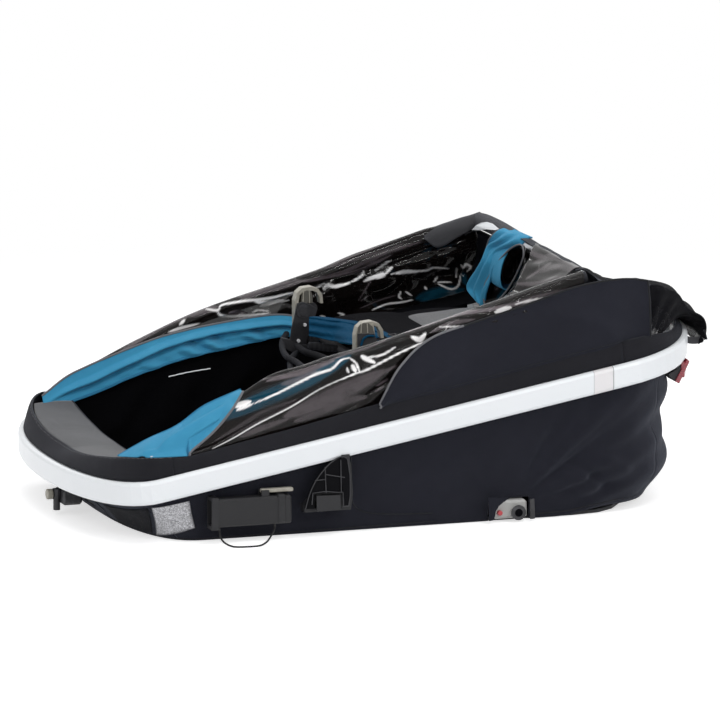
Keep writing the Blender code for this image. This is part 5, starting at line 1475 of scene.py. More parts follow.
# Side windows: soft clear film from over the beams down to the rim, slack while the roof is folded down

window = {
    "thickness": 0.0009,
    "footY": 0.3110,
    "frontCrest": -0.3010,
    "frontFoot": -0.4110,
    "farFront": -0.4720,
    "rear": 0.3260,
    "foldStart": (0.0, 0, 0.2335),
    "foldEnd": (-0.01487, 0, 0.3165),
    "lift": (
        (-0.45, 0.0), (-0.31, 0.0070), (-0.25, 0.0150), (-0.19, 0.0060), (-0.15, 0.0055), (-0.08, 0.0010),
        (0.34, 0.0005),
    ),
}


def rimCrest(x):
    # height of the rim's top edge along its straight side
    share = (x - ring["noseX"]) / (ring["tailX"] - ring["noseX"])
    return ringTop(x) + smoothTable(rim["heights"], mix(-0.55, 0.55, share))


def filmSection(x, side):
    # the film's section at x: round the beam from its inner side, then out and down to the rim
    y, top = beamY(x), beamTop(x)
    foot = rimCrest(x) - 0.005
    lift = smoothTable(window["lift"], x) if side < 0 else 0.0
    crest = 0.0050 * ease((x - 0.02) / 0.08) * (1 - ease((x - 0.22) / 0.06)) if side > 0 else 0.0
    tuck = 0.017 + 0.004 * ease((x + 0.3) / 0.2)
    foot = min(foot, top - 0.014)
    return (
        (0.0, y - 0.0105, top - tuck),
        (0.10, y - 0.0112, top - 0.0065),
        (0.17, y - 0.0045, top + 0.0016 + lift * 0.5 + crest),
        (0.24, y + 0.0050, top + 0.0012 + lift + crest),
        (0.32, y + 0.0120, top - 0.0060 + lift * 1.1),
        (0.60, mix(y + 0.0125, window["footY"], 0.62), mix(top - 0.008, foot, 0.50) + lift * 0.7),
        (1.0, window["footY"], foot),
    )


def onSection(section, v):
    y = smoothTable([(row[0], row[1]) for row in section], v)
    z = smoothTable([(row[0], row[2]) for row in section], v)
    return y, z


def foldLine(table, x, z, below, above):
    # 1 on the fold, falling to 0 at its two reaches
    away = z - alongTable(table, x)
    return ease(1 + away / below) if away < 0 else ease(1 - away / above)


longFold = (
    (-0.400, 0.1560), (-0.364, 0.1670), (-0.287, 0.2030), (-0.194, 0.2400), (-0.101, 0.2800),
    (-0.039, 0.3040), (0.0225, 0.3220), (0.33, 0.40),
)
shortFold = (
    (-0.400, 0.2060), (-0.290, 0.2400), (-0.2335, 0.2545), (-0.1906, 0.2730), (-0.144, 0.2950),
    (-0.110, 0.3080), (0.33, 0.52),
)
lowFold = ((-0.400, 0.1200), (-0.100, 0.2180), (-0.050, 0.2480), (0.000, 0.2720), (0.33, 0.40))


def nearFilmPoint(u, v):
    lean = mix(window["frontCrest"], window["frontFoot"], ease((v - 0.15) / 0.75))
    x = mix(lean, window["rear"], u)
    y, z = onSection(filmSection(x, -1), v)
    slack = ease((v - 0.27) / 0.10) * (1 - ease((v - 0.93) / 0.07))
    out = 0.0085 * foldLine(longFold, x, z, 0.060, 0.010)
    out += 0.0052 * foldLine(shortFold, x, z, 0.016, 0.013) * (1 - ease((x + 0.15) / 0.04))
    out -= 0.0050 * foldLine(shortFold, x, z - 0.012, 0.014, 0.012) * (1 - ease((x + 0.20) / 0.06))
    out += 0.0038 * foldLine(lowFold, x, z, 0.012, 0.009) * bump(x, -0.05, 0.13)
    out -= 0.0034 * foldLine(lowFold, x, z - 0.013, 0.009, 0.009) * bump(x, -0.05, 0.10)
    # the rear part is crumpled where the hood gathers it
    rear = ease((x + 0.06) / 0.10)
    out += rear * 0.0046 * crumple(x, z, 0.0)
    out += 0.0008 * ripple(x * 0.7, 0.1, z, 12)
    out *= slack
    return Vector((x, -(y + out * 0.88), z + out * 0.48))


def crumple(x, z, seed):
    # faceted creases: folded sheets of sines, sharp on one side only
    first = abs(math.sin(21 * x + 46 * z + seed + 1.6 * math.sin(17 * x - 9 * z + seed)))
    second = abs(math.sin(44 * x - 31 * z + 2.1 * seed + 1.3 * math.sin(13 * x + 27 * z)))
    return 0.62 * (1 - first) ** 1.3 + 0.38 * (1 - second) ** 1.3 - 0.25


def farFilmPoint(u, v):
    x = mix(window["farFront"] + 0.02 * v, window["rear"], u)
    y, z = onSection(filmSection(x, 1), v)
    top = beamTop(x)
    slack = ease((v - 0.22) / 0.14) * (1 - ease((v - 0.94) / 0.06))
    loose = ease((x + 0.20) / 0.16)
    down = top - z
    # it bags inwards under the beam, and lies in long wrinkles just below the crest
    bag = 0.021 * bump(down, 0.055, 0.050) * loose
    wrinkles = 0.0030 * math.sin(230 * down + 11 * x + 2.2 * math.sin(15 * x + 1)) * bump(down, 0.022, 0.030)
    wrinkles += 0.0016 * math.sin(410 * down - 24 * x + 1.7 * math.sin(29 * x)) * bump(down, 0.018, 0.026)
    creased = 0.0085 * crumple(x, z, 1.3) * loose * ease((down - 0.028) / 0.025)
    front = 0.0040 * math.sin(150 * down + 20 * x) * (1 - loose)
    out = slack * (bag + wrinkles * mix(0.5, 1.0, loose) - creased + front)
    return Vector((x, y - out, z + out * 0.20))


def underPoint(u, v):
    # blue cloth along the near beam, which shows dark through the film
    x = mix(-0.395, -0.120, u)
    y, top = beamY(x), beamTop(x)
    lift = smoothTable(window["lift"], x) * 0.7
    width = mix(0.034, 0.016, u)
    side = mix(-0.4, 1.0, v)
    droop = 0.55 * max(side, 0) ** 1.4 + 0.10 * side * side
    z = top - 0.0008 + lift * bump(side, 0.1, 1.3) - width * droop
    return Vector((x - 0.012 * max(side, 0), -(y + width * side * 0.45), z))


# Marks on the film: channel (0 painted highlight on a fold, 1 painted grey reflection, 2 blue cloth behind), strength,
# half width, soft edge, spots

nearMarks = (
    (2, 1.0, 5.0, 3.5, ((229, 413), (250, 403), (280, 391), (310, 379), (334, 366), (350, 356))),
    (2, 0.8, 2.5, 3.0, ((222, 420), (250, 409), (296, 390), (325, 377))),
    (1, 0.9, 1.2, 2.4, ((268, 381), (289, 376), (306, 372), (320, 366), (334, 361))),
    (1, 0.7, 1.6, 3.2, ((283, 384), (300, 380), (316, 371))),
    (1, 0.6, 0.5, 1.2, ((245, 388), (258, 381), (289, 374), (324, 363), (344, 355), (368, 348), (388, 339))),
    (0, 1.0, 0.7, 1.0, ((254, 403.7), (276, 394.3), (297, 383.6), (317, 374), (332, 369), (341, 360.5), (349.4, 358))),
    (0, 0.95, 0.5, 1.0, ((349.4, 358), (356, 363.5), (360, 373))),
    (0, 1.0, 2.2, 1.3, ((234, 406), (243, 404), (252, 401))),
    (0, 1.0, 0.9, 1.2, ((238, 410), (254, 403.7))),
    (0, 0.9, 0.4, 1.0, ((224, 417), (232, 411))),
    (0, 0.85, 0.2, 0.9, (
        (214, 448), (235.5, 437), (258, 423.8), (292, 406.4), (318.6, 390), (344, 378.2), (368, 369.5),
    )),
    (0, 0.95, 0.5, 1.0, ((340, 380), (356, 373.5), (368, 369.5), (400, 352.8), (424, 342))),
    (1, 0.32, 0.6, 2.4, ((217, 440), (243.6, 424), (265, 411), (297, 399.7))),
    (1, 0.22, 0.5, 2.0, ((230, 437), (262, 419), (300, 400))),
    (1, 0.42, 1.6, 2.6, ((242, 436), (262, 428), (290, 418))),
    (1, 0.46, 6.0, 4.5, ((286, 416), (320, 402), (350, 388), (384, 371))),
    (1, 0.42, 2.4, 3.5, ((296, 421), (322, 411), (345, 401), (366, 397))),
    (1, 0.5, 1.0, 1.8, ((350, 386), (378, 375), (396, 366))),
    (1, 0.6, 0.6, 1.2, ((374, 392), (384, 386))),
    (1, 0.6, 0.6, 1.2, ((376, 386), (388, 379))),
    (0, 1.0, 1.6, 1.4, ((361, 356), (366, 359), (375, 363))),
    (0, 0.9, 0.6, 1.0, ((366, 358), (382, 355), (395, 347.5))),
    (0, 1.0, 1.6, 1.3, ((352, 365), (356, 372))),
    (0, 0.9, 0.7, 1.0, ((347, 368), (349, 373))),
    (0, 1.0, 1.8, 1.4, ((411, 337), (419, 340), (425, 334))),
    (0, 0.8, 0.5, 1.0, ((439, 327.5), (462, 327.5), (446, 332))),
    (1, 0.9, 1.2, 1.8, ((404, 333), (425, 325), (457, 314.5), (489, 310), (538, 299))),
    (1, 0.7, 1.2, 1.8, ((430, 333), (450, 324), (474, 320))),
    (0, 0.9, 2.0, 1.5, ((494, 313), (510, 308))),
    (0, 0.7, 0.6, 1.0, ((513, 305), (530, 301), (544, 299))),
    (1, 0.5, 2.0, 2.5, ((500, 309), (540, 298), (590, 287))),
)

farMarks = (
    (1, 0.60, 1.6, 1.6, ((117, 353), (140, 339), (163, 325.5), (198, 310.5), (218, 306.5))),
    (1, 0.55, 3.0, 2.6, ((190, 316), (202, 310), (214, 308))),
    (0, 0.90, 0.8, 1.2, ((168, 332), (180.5, 328), (198, 323.7))),
    (0, 0.80, 0.9, 1.2, ((179, 324.5), (184, 319.5))),
    (0, 0.85, 0.7, 1.1, ((205, 308.8), (216, 310.4), (219, 307.7))),
    (0, 1.00, 0.7, 1.2, (
        (218, 307.7), (222.5, 304.4), (242, 301), (257, 299.6), (272, 297.4), (288, 293.6), (307, 291),
    )),
    (0, 1.00, 1.6, 1.4, ((254, 301), (266, 303), (283, 299.5))),
    (0, 0.90, 0.5, 1.1, ((259, 306.6), (270, 303.4), (288, 300))),
    (0, 0.95, 0.8, 1.2, ((216, 311), (220.4, 315.3), (231, 316.4), (248.5, 315.3), (269, 313))),
    (1, 1.00, 1.8, 1.6, ((228, 313), (246, 313))),
    (0, 0.80, 0.5, 1.0, ((252, 312), (257, 310), (268, 311))),
    (1, 0.50, 2.6, 2.6, ((240, 299), (262, 290), (284, 285), (300, 281))),
    (1, 0.70, 0.6, 1.3, ((293, 279.5), (304, 280.6), (320, 278.4), (360, 269.8))),
    (1, 0.50, 0.8, 1.4, ((236, 298), (271, 282), (298, 274.5), (340, 260), (389, 241))),
    (1, 0.45, 1.2, 1.6, ((308, 279.5), (342, 272), (379, 255), (421, 241))),
    (1, 0.50, 0.9, 1.5, ((330, 277), (357, 270.6), (376, 262), (392, 254))),
    (1, 0.38, 0.8, 1.4, ((325, 268), (351, 260), (371, 254), (398, 246))),
    (1, 0.40, 0.7, 1.3, ((352, 266), (372, 261), (386, 250), (404, 243))),
    (0, 0.90, 0.3, 0.9, ((310, 290), (324, 283.4))),
    (0, 1.00, 1.3, 1.2, ((323, 288.5), (327.4, 284.5), (335.7, 286), (351, 282))),
    (0, 1.00, 0.6, 1.1, ((351, 282), (361, 275.7), (364, 270))),
    (0, 1.00, 1.2, 1.2, ((364, 281), (371.5, 277.5), (383, 274.5))),
    (0, 1.00, 2.0, 1.3, ((374, 277), (386, 273.5))),
    (0, 1.00, 0.8, 1.1, ((386, 273), (392.5, 266))),
    (0, 0.80, 0.4, 0.9, ((375, 270), (384, 264), (390.6, 260))),
    (0, 1.00, 1.2, 1.2, ((396, 273), (406, 271.2), (418, 271))),
    (0, 0.90, 0.4, 1.0, ((391, 274), (406, 271), (426, 270), (435, 267), (450, 268))),
    (0, 1.00, 0.7, 1.1, ((462, 264), (464.6, 266.8), (467, 263.6), (472, 266), (468.5, 270.6))),
    (0, 0.70, 0.5, 1.0, ((458, 267), (457, 277))),
    (0, 0.90, 0.5, 1.0, ((462, 273), (459.5, 284.7), (452, 288.5), (439, 283.4))),
    (0, 0.80, 0.4, 1.0, ((435, 281), (438, 276))),
    (0, 0.70, 0.3, 0.9, ((438, 281.5), (453, 281.5))),
    (0, 0.80, 0.4, 1.0, ((401, 291), (399.5, 296), (402, 298.7))),
    (0, 0.70, 0.3, 0.9, ((406, 291), (412, 295))),
    (0, 0.80, 0.5, 1.0, ((425, 286), (427.6, 289))),
    (0, 0.95, 0.4, 1.0, ((372.7, 309.5), (387, 303.8), (401, 302), (413.6, 299.3))),
    (1, 0.50, 0.4, 1.2, ((360, 308), (379, 300), (396, 295))),
    (1, 0.80, 0.3, 1.0, ((358.7, 300), (371.5, 279.6))),
    (1, 0.70, 0.3, 1.0, ((360, 301), (369, 295))),
    (0, 0.90, 0.6, 1.0, ((320, 315.5), (325, 317))),
    (0, 0.95, 0.6, 1.0, ((338, 312.7), (343.4, 314.6), (339.6, 316.6))),
    (1, 0.60, 0.4, 1.2, ((439, 303.8), (453, 298.7), (467, 295))),
    (2, 0.85, 3.5, 5.0, ((418, 298), (440, 293), (464, 289))),
    (2, 0.80, 1.5, 3.0, ((464, 272), (467, 284))),
    (2, 0.70, 1.0, 3.0, ((389, 315), (415, 310), (440, 304))),
)


def makeWindows():
    for name, surface, marks, label in (
        ("windowNear", nearFilmPoint, nearMarks, "left"),
        ("windowFar", farFilmPoint, farMarks, "right"),
    ):
        piece = cloth(name, surface, 300, 90, window["thickness"], "vinyl")
        paint(piece, marks)
        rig.replaces(piece, f"side_window_{label}")
        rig.slot(piece, "tinted_vinyl")
        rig.blend(piece, "chassis", "roof_frame", start=window["foldStart"], end=window["foldEnd"])
        cutFrom(piece, surface, "hung", f"roof_beam_{label}")
    under = cloth("blueUnderFilm", underPoint, 90, 14, 0.0012, "blueCloth")
    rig.slot(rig.ride(cutFrom(under, underPoint, "hung", "roof_beam_left"), "roof_frame"), "blue_cloth")
    print("side windows: 2 sheets of film, blue cloth under the near one")


makeStrips()
makeWindows()


# Rear side panels: black cloth outside the windows, from the rim up to the roof's edge, piped along the front

panel = {
    "thickness": 0.0014,
    "y": 0.3215,
    "frontX": -0.060,
    "rearX": 0.446,
    "top": (
        (-0.060, 0.229), (-0.050, 0.248), (-0.042, 0.2630), (-0.030, 0.2830), (-0.017, 0.2985), (0.003, 0.3180),
        (0.026, 0.334), (0.056, 0.3465), (0.110, 0.3590), (0.181, 0.3765), (0.225, 0.3885), (0.270, 0.4020),
        (0.310, 0.4125), (0.345, 0.4180), (0.377, 0.4205), (0.410, 0.4190), (0.446, 0.4130),
    ),
    "farDrop": ((0.290, 0.0), (0.336, 0.0150), (0.377, 0.0410), (0.410, 0.0540), (0.446, 0.0620)),
}


def panelFoot(x):
    return rimCrest(x) - 0.006


def panelPoint(u, v, side):
    # u from the piped front to the rear seam, v from the rim up to the top edge
    x = mix(panel["frontX"], panel["rearX"], u**1.15)
    low = panelFoot(x)
    drop = alongTable(panel["farDrop"], x) if side > 0 else 0.0
    high = max(smoothTable(panel["top"], x) - drop, low + 0.006)
    z = mix(low, high, v)
    lean = 0.0160 * v**2.2 * ease((x + 0.06) / 0.25)
    tail = 0.0115 * ease((x - 0.36) / 0.08)
    belly = 0.0060 * math.sin(math.pi * min(v * 1.1, 1)) * (1 - ease((x - 0.32) / 0.12))
    # soft pulls: a long one up from the rear seam's foot and two short ones behind the piping
    pull = 0.0040 * bump((z - 0.300) - (x - 0.42) * -0.62, 0.0, 0.035) * bump(x, 0.30, 0.22)
    pull += 0.0028 * bump((z - 0.335) + (x - 0.35) * 0.42, 0.0, 0.028) * bump(x, 0.25, 0.18)
    pull -= 0.0022 * bump((z - 0.360) + (x - 0.35) * 0.30, 0.0, 0.022) * bump(x, 0.26, 0.16)
    pull += 0.0026 * bump((z - 0.262) - (x - 0.02) * 0.55, 0.0, 0.020) * bump(x, 0.05, 0.09)
    soft = 0.0013 * ripple(x, 0.3, z, 14) * math.sin(math.pi * v)
    y = panel["y"] - lean - tail + belly + pull * math.sin(math.pi * min(max(v, 0.04), 0.96)) + soft
    return Vector((x, side * y, z))


def sideOf(point, side):
    def surface(u, v):
        return point(u, v, side)

    return surface


def makeSidePanels():
    for side, name in ((-1, "left"), (1, "right")):
        surface = sideOf(panelPoint, side)
        piece = cloth(f"sidePanel_{name}", surface, 150, 60, panel["thickness"], "blackCloth")
        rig.replaces(piece, f"side_panel_{name}")
        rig.slot(cutFrom(piece, surface, "stretched", f"side_rim_{name}"), "black_cloth")
        edge = traced(surface, 140, 1.0)
        front = [surface(0.0, k / 8) for k in range(8)]
        rearSeam = [surface(1.0, 1 - k / 30) for k in range(31)]
        seam = traced(surface, 120, 0.075, (0, side * 0.0008, 0))[6:119]
        parts = [piece]
        for label, line, radius, finishName, corners in (
            ("panelPiping", front + edge[:52], 0.0021, "piping", 8),
            ("panelHem", edge[50:] + rearSeam[1:], 0.0019, "boundEdge", 8),
            ("panelSeam", seam, 0.0006, "boundEdge", 6),
        ):
            trim = rod(f"{label}_{name}", line, radius, finishName, corners)
            parts.append(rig.slot(trim, "black_cloth"))
        for part in parts:
            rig.blend(part, "chassis", "roof_frame", start=window["foldStart"], end=window["foldEnd"])
    print("side panels: 2, with piping and hems")


makeSidePanels()


# Hood: grey cloth over the crossbar and back into the ring's rear, with slack film in front of it on the near side

hood = {
    "thickness": 0.0014,
    "line": (
        (0.3210, 0.4365), (0.3300, 0.4388), (0.3390, 0.4360), (0.3520, 0.4260), (0.3800, 0.4010),
        (0.4200, 0.3690), (0.4500, 0.3530), (0.5000, 0.3340), (0.5430, 0.3170),
    ),
    "halfWidth": 0.270,
    "rearHalfWidth": 0.238,
    "inset": 0.036,
}


def hoodPoint(u, v):
    # u across from left to right, v from the crossbar back and down to the rim
    across = (u - 0.5) * 2
    x, z = alongRows(hood["line"], v)
    back = ease((x - 0.40) / 0.15)
    half = mix(hood["halfWidth"], hood["rearHalfWidth"], back)
    y = half * across
    tail = outlineTail(abs(y), hood["inset"])
    x = mix(x, min(x, tail), back)
    sag = 0.0065 * (1 - across * across) * ease((x - 0.345) / 0.05)
    folds = 0.0026 * math.sin(46 * y + 20 * x) * ease((x - 0.37) / 0.05) * (1 - 0.8 * back)
    soft = 0.0018 * ripple(x, y, z, 18)
    return Vector((x, y, z - sag + folds + soft - 0.0020 * abs(across) ** 6))


def outlineTail(y, inset):
    half = ring["halfWidth"] - inset
    share = max(1 - (y / half) ** ring["tailPower"], 0.0)
    return ring["tailX"] + (ring["tailDepth"] - inset) * share ** 0.4


def makeHood():
    piece = cloth("hoodCloth", hoodPoint, 120, 80, hood["thickness"], "hoodCloth")
    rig.replaces(piece, "rear_hood")
    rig.slot(cutFrom(piece, hoodPoint, "hung", "rear_crossbar"), "black_cloth")
    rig.blend(piece, "chassis", "roof_frame", start=(0.50, 0, 0.30), end=(0.40, 0, 0.40))
    print("hood: 1")


makeHood()


def capPoint(side):
    # grey cloth tunnel over the rear end of a beam
    def surface(u, v):
        x = mix(0.222, 0.331, u)
        y, top = beamY(x), beamTop(x)
        depth = smoothTable(((0.0, 0.006), (0.22, 0.030), (0.60, 0.023), (1.0, 0.012)), u)
        rows = (
            (0.0, y - 0.0135, top - depth),
            (0.22, y - 0.0128, top - min(0.007, depth)),
            (0.42, y - 0.0050, top + 0.0042),
            (0.60, y + 0.0055, top + 0.0040),
            (0.78, y + 0.0132, top - 0.006),
            (1.0, y + 0.0150, top - 0.020),
        )
        out, up = onSection(rows, v)
        soft = 0.0012 * ripple(x, v * 0.06, 0, 30)
        return Vector((x, side * (out + soft), up + soft))

    return surface


# Film that hangs slack from the near half of the crossbar, with folds along it

frontFilm = {
    "thickness": 0.0009,
    "line": (
        (0.3300, 0.4385), (0.3200, 0.4370), (0.3060, 0.4260), (0.2920, 0.4100), (0.2760, 0.3930),
        (0.2600, 0.3790), (0.2460, 0.3700),
    ),
    "farY": -0.022,
    "lowFarY": -0.128,
    "nearY": -0.2640,
}


# painted grey reflections along the front film's folds
frontMarks = (
    (1, 0.55, 1.2, 2.0, ((521.6, 249), (523.6, 265), (516.7, 279))),
    (1, 0.58, 1.4, 2.4, ((523, 247.5), (536.5, 255.4), (548, 258))),
    (1, 0.42, 2.6, 3.0, ((535, 263), (554, 257), (578, 267), (610, 279))),
    (1, 0.40, 1.6, 2.6, ((538, 273), (558, 267), (588, 277), (606, 282))),
    (1, 0.55, 1.4, 2.2, ((512, 284), (538, 284), (558, 279), (588, 281))),
    (1, 0.58, 0.6, 1.8, ((526, 279), (542, 269), (551, 263))),
    (1, 0.50, 0.8, 2.0, ((554, 289), (578, 285), (600, 283))),
    (1, 0.32, 1.0, 2.5, ((545, 249), (575, 264), (604, 277))),
)


# the pale facing under the cap, as picture points with their depth

capFacing = (
    (473, 229, 0.262), (477, 224.5, 0.245), (482, 221.8, 0.228), (488, 221, 0.208), (494, 223, 0.178),
    (500, 228.5, 0.138), (496, 229.5, 0.150), (488, 228.6, 0.190), (480, 229.5, 0.230),
)


def frontFilmPoint(u, v):
    y = mix(mix(frontFilm["farY"], frontFilm["lowFarY"], v**0.9), frontFilm["nearY"], u)
    x, z = alongRows(frontFilm["line"], v)
    free = ease((v - 0.12) / 0.3)
    fan = v * 2.6 + u * 0.9
    folds = math.sin(fan * 5.2 + 1.4 * ripple(x, y, z, 9)) * 0.6
    folds += math.sin(fan * 9.7 + 2.0 + 1.2 * ripple(x, y, z, 15)) * 0.4
    out = 0.0062 * folds * free * (0.4 + 0.6 * math.sin(math.pi * u))
    return Vector((x - out * 0.75, y, z + out * 0.65 - 0.010 * free * math.sin(math.pi * u)))


# Mesh pocket behind the hood, with its grey hem

pocket = {
    "thickness": 0.0011,
    "line": (
        (0.4450, 0.3650), (0.4700, 0.3620), (0.5000, 0.3560), (0.5300, 0.3480), (0.5580, 0.3370),
        (0.5800, 0.3230), (0.5930, 0.3060), (0.5960, 0.2840),
    ),
    "halfWidth": 0.2920,
    "rearHalfWidth": 0.2150,
    "lift": 0.042,
    "farDrop": ((0.445, 0.0), (0.470, 0.0080), (0.500, 0.0150), (0.545, 0.0270), (0.575, 0.0260), (0.596, 0.0060)),
    "sideHem": ((684, 338.5), (690, 340.5), (697, 340.5), (702.5, 338.5)),
    "sideHemY": -0.1990,
}
barSleeve = {
    "radius": 0.0152,
    "line": (
        (0.2980, 0.2900, 0.4120), (0.3130, 0.2890, 0.4180), (0.3250, 0.2810, 0.4220), (0.3300, 0.2680, 0.4255),
        (0.3312, 0.1850, 0.4275), (0.3312, 0.1000, 0.4262),
    ),
    "beamEnds": ((0.2980, 0.2980), (0.3340, 0.3300)),  # x, and the x its height is read at
}


def pocketPoint(u, v):
    across = (u - 0.5) * 2
    x, z = alongRows(pocket["line"], v)
    half = mix(pocket["halfWidth"], pocket["rearHalfWidth"], ease((x - 0.44) / 0.15) ** 1.2)
    y = half * across
    corner = abs(across) ** 4
    x -= 0.012 * corner * ease((x - 0.46) / 0.12)
    z -= 0.003 * corner * (1 - ease((x - 0.5) / 0.09))
    z += pocket["lift"] * ease((-y - 0.05) / 0.20) * (1 - ease((x - 0.47) / 0.13))
    z -= alongTable(pocket["farDrop"], x) * ease((y + 0.04) / 0.18)
    gather = 0.0040 * math.sin(38 * y + 12 * v) * ease((v - 0.1) / 0.3) * (1 - ease((v - 0.93) / 0.07) * 0.6)
    gather += 0.0030 * math.sin(83 * y - 15 * v + 2 * ripple(x, y, z, 11)) * math.sin(math.pi * v)
    return Vector((x + gather * v * 0.8, y, z + gather * 0.7))


def pocketSidePoint(side):
    # the net's gathered end at the side panel's rear seam, down to the rim
    def surface(u, v):
        top = pocketPoint(0.5 + side * 0.5, u)
        lowX = mix(0.448, 0.548, min(u / 0.82, 1))
        low = Vector((lowX, side * (outlineSide(lowX) - 0.004), ringTop(lowX) + 0.022))
        low = low.lerp(Vector((0.5740, side * 0.2020, 0.2740)), ease((u - 0.66) / 0.34))
        p = top.lerp(low, v)
        p.y += side * 0.006 * math.sin(math.pi * v) * math.sin(math.pi * u)
        p.y += side * 0.0032 * math.sin(34 * u + 9 * v) * math.sin(math.pi * v)
        return p

    return surface


def outlineSide(x):
    # half width of the rim's top edge at x behind its straight side
    share = min(max((x - ring["tailX"]) / (ring["tailDepth"] - 0.030), 0.0), 1.0)
    return (ring["halfWidth"] - 0.026) * (1 - share ** ring["tailPower"]) ** (1 / ring["tailPower"])


def makeTail():
    cap = cloth("hoodCapFar", capPoint(1), 50, 24, 0.0014, "greyTrim")
    bar = rod("crossbarSleeve", smoothLine(barSleeve["line"], 8), barSleeve["radius"], "greyTrim", 18)
    ends = [Vector((x, -beamY(at), beamTop(at) - beam["radius"])) for x, at in barSleeve["beamEnds"]]
    endCap = rod("beamEndCap", ends, beam["radius"] + 0.0014, "hoodCloth", 24)
    film = cloth("frontFilm", frontFilmPoint, 120, 60, frontFilm["thickness"], "vinyl")
    edge = rod("frontFilmHem", traced(frontFilmPoint, 100, 1.0), 0.0015, "boundEdge", 6)
    paint(film, frontMarks)
    cutFrom(film, frontFilmPoint, "hung", "rear_crossbar")
    cutFrom(cap, capPoint(1), "laid", "roof_beam_right")
    facing = plate("capFacing", [seenBeside(*spot) for spot in capFacing], 0.0008, "band")
    slots = ("ring_white", "black_cloth", "black_cloth", "black_cloth", "tinted_vinyl", "black_cloth")
    for piece, slotName in zip((facing, cap, bar, endCap, film, edge), slots):
        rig.slot(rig.ride(piece, "roof_frame"), slotName)
    net = cloth("pocketNet", pocketPoint, 130, 60, pocket["thickness"], "netting")
    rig.replaces(net, "mesh_pocket")
    cutFrom(net, pocketPoint, "hung", "rear_crossbar")
    hem = strap("pocketHem", traced(pocketPoint, 40, 0.95), 0.018, 0.0022, "hoodCloth", (0.25, 0, -1))
    beside = smoothLine(outlineAt(pocket["sideHem"], pocket["sideHemY"]), 6)
    sideHem = strap("pocketSideHem", beside, 0.0120, 0.0022, "greyTrim", (0, 0, 1))
    topHem = strap("pocketTopHem", traced(pocketPoint, 40, 0.01), 0.010, 0.0020, "blackCloth", (1, 0, 0))
    nets = [net]
    for side in (-1, 1):
        piece = cloth(f"pocketSide{side}", pocketSidePoint(side), 50, 36, pocket["thickness"], "netting")
        nets.append(cutFrom(piece, pocketSidePoint(side), "hung", "rear_rim"))
    hems = [hem, topHem, sideHem]
    for piece in nets:
        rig.slot(piece, "mesh_cloth")
    for piece in hems:
        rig.slot(piece, "black_cloth")
    for piece in nets + hems:
        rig.blend(piece, "chassis", "roof_frame", start=(0.52, 0, 0.29), end=(0.42, 0, 0.40))
    print("tail: film, caps and net pocket")


makeTail()


# The cabin's front cover, rolled up and tied under the crossbar: blue outside, film inside

roll = {
    "centre": (0.3140, 0.112, 0.3775),
    "halfDepth": 0.0190,
    "halfHeight": 0.0410,
    "halfLength": 0.0520,
    "tilt": 14.0,
}


def rollPoint(share, y, turns, start, outer, inner):
    # spiral section, flattened and leaning back at its top
    turn = start + math.tau * turns * share
    size = mix(outer, inner, share)
    x, z = roll["halfDepth"] * size * math.cos(turn), roll["halfHeight"] * size * math.sin(turn)
    tilt = math.radians(roll["tilt"])
    x, z = x * math.cos(tilt) + z * math.sin(tilt), z * math.cos(tilt) - x * math.sin(tilt)
    centre = Vector(roll["centre"])
    return centre + Vector((x, y, z))


def rollOuterPoint(u, v):
    y = mix(-1, 1, v) * roll["halfLength"] * (1 - 0.06 * math.sin(math.pi * u))
    p = rollPoint(u, y, 1.08, 0.3, 1.0, 0.90)
    wrinkle = 0.0030 * ripple(p.x, p.y, p.z, 22) + 0.0020 * math.sin(60 * p.z + 40 * p.y)
    return p + Vector((wrinkle * 0.8, 0, wrinkle * 0.4))


def rollInnerPoint(u, v):
    y = mix(-0.93, 0.93, v) * roll["halfLength"]
    p = rollPoint(u, y, 2.3, 0.9, 0.84, 0.20)
    return p + Vector((0.0012 * ripple(p.x, p.y, p.z, 30), 0, 0))


flap = {
    "far": (
        (0.3320, 0.1300, 0.4405), (0.3150, 0.1320, 0.4345), (0.3080, 0.1500, 0.4180), (0.3050, 0.1690, 0.4048),
        (0.2950, 0.1730, 0.3740), (0.2850, 0.2047, 0.3363), (0.2820, 0.2069, 0.3160), (0.2850, 0.1430, 0.2990),
    ),
    "near": (
        (0.3380, 0.0160, 0.4410), (0.3290, 0.0180, 0.4400), (0.3180, 0.0292, 0.4264), (0.3080, 0.0943, 0.3968),
        (0.3000, 0.1040, 0.3750), (0.2950, 0.1172, 0.3466), (0.2900, 0.1300, 0.3200), (0.2870, 0.1400, 0.2970),
    ),
}

# The rolled cover's open end, an oval mouth of film beside the flap
mouth = {
    "rim": (
        (-0.008, 0.4344), (-0.031, 0.4206), (-0.018, 0.3930), (0.0028, 0.3674), (0.034, 0.3400), (0.070, 0.3190),
        (0.110, 0.3050), (0.132, 0.3060), (0.143, 0.3342), (0.124, 0.3560), (0.1038, 0.3776), (0.0477, 0.4150),
    ),
    "x": 0.298,
    "back": (0.332, 0.068, 0.37),
}


def mouthPoint(u, v):
    # u round the mouth, v from its rim inwards
    rim = mouth["rim"]
    t = (u % 1.0) * len(rim)
    k = int(t)
    a, b, c, d = (Vector(rim[(k + i) % len(rim)]) for i in (-1, 0, 1, 2))
    s = t - k
    y, z = 0.5 * (2 * b + (c - a) * s + (2 * a - 5 * b + 4 * c - d) * s * s + (3 * b - a - 3 * c + d) * s**3)
    inwards = mix(1.0, 0.62, ease(v))
    y, z = 0.056 + (y - 0.056) * inwards + 0.012 * v, 0.370 + (z - 0.370) * inwards
    lean = (z - 0.37) * 0.16
    crumpled = 0.0016 * ripple(y, z, v, 40) * v
    return Vector((mouth["x"] + lean + 0.030 * v + crumpled, y, z + crumpled))


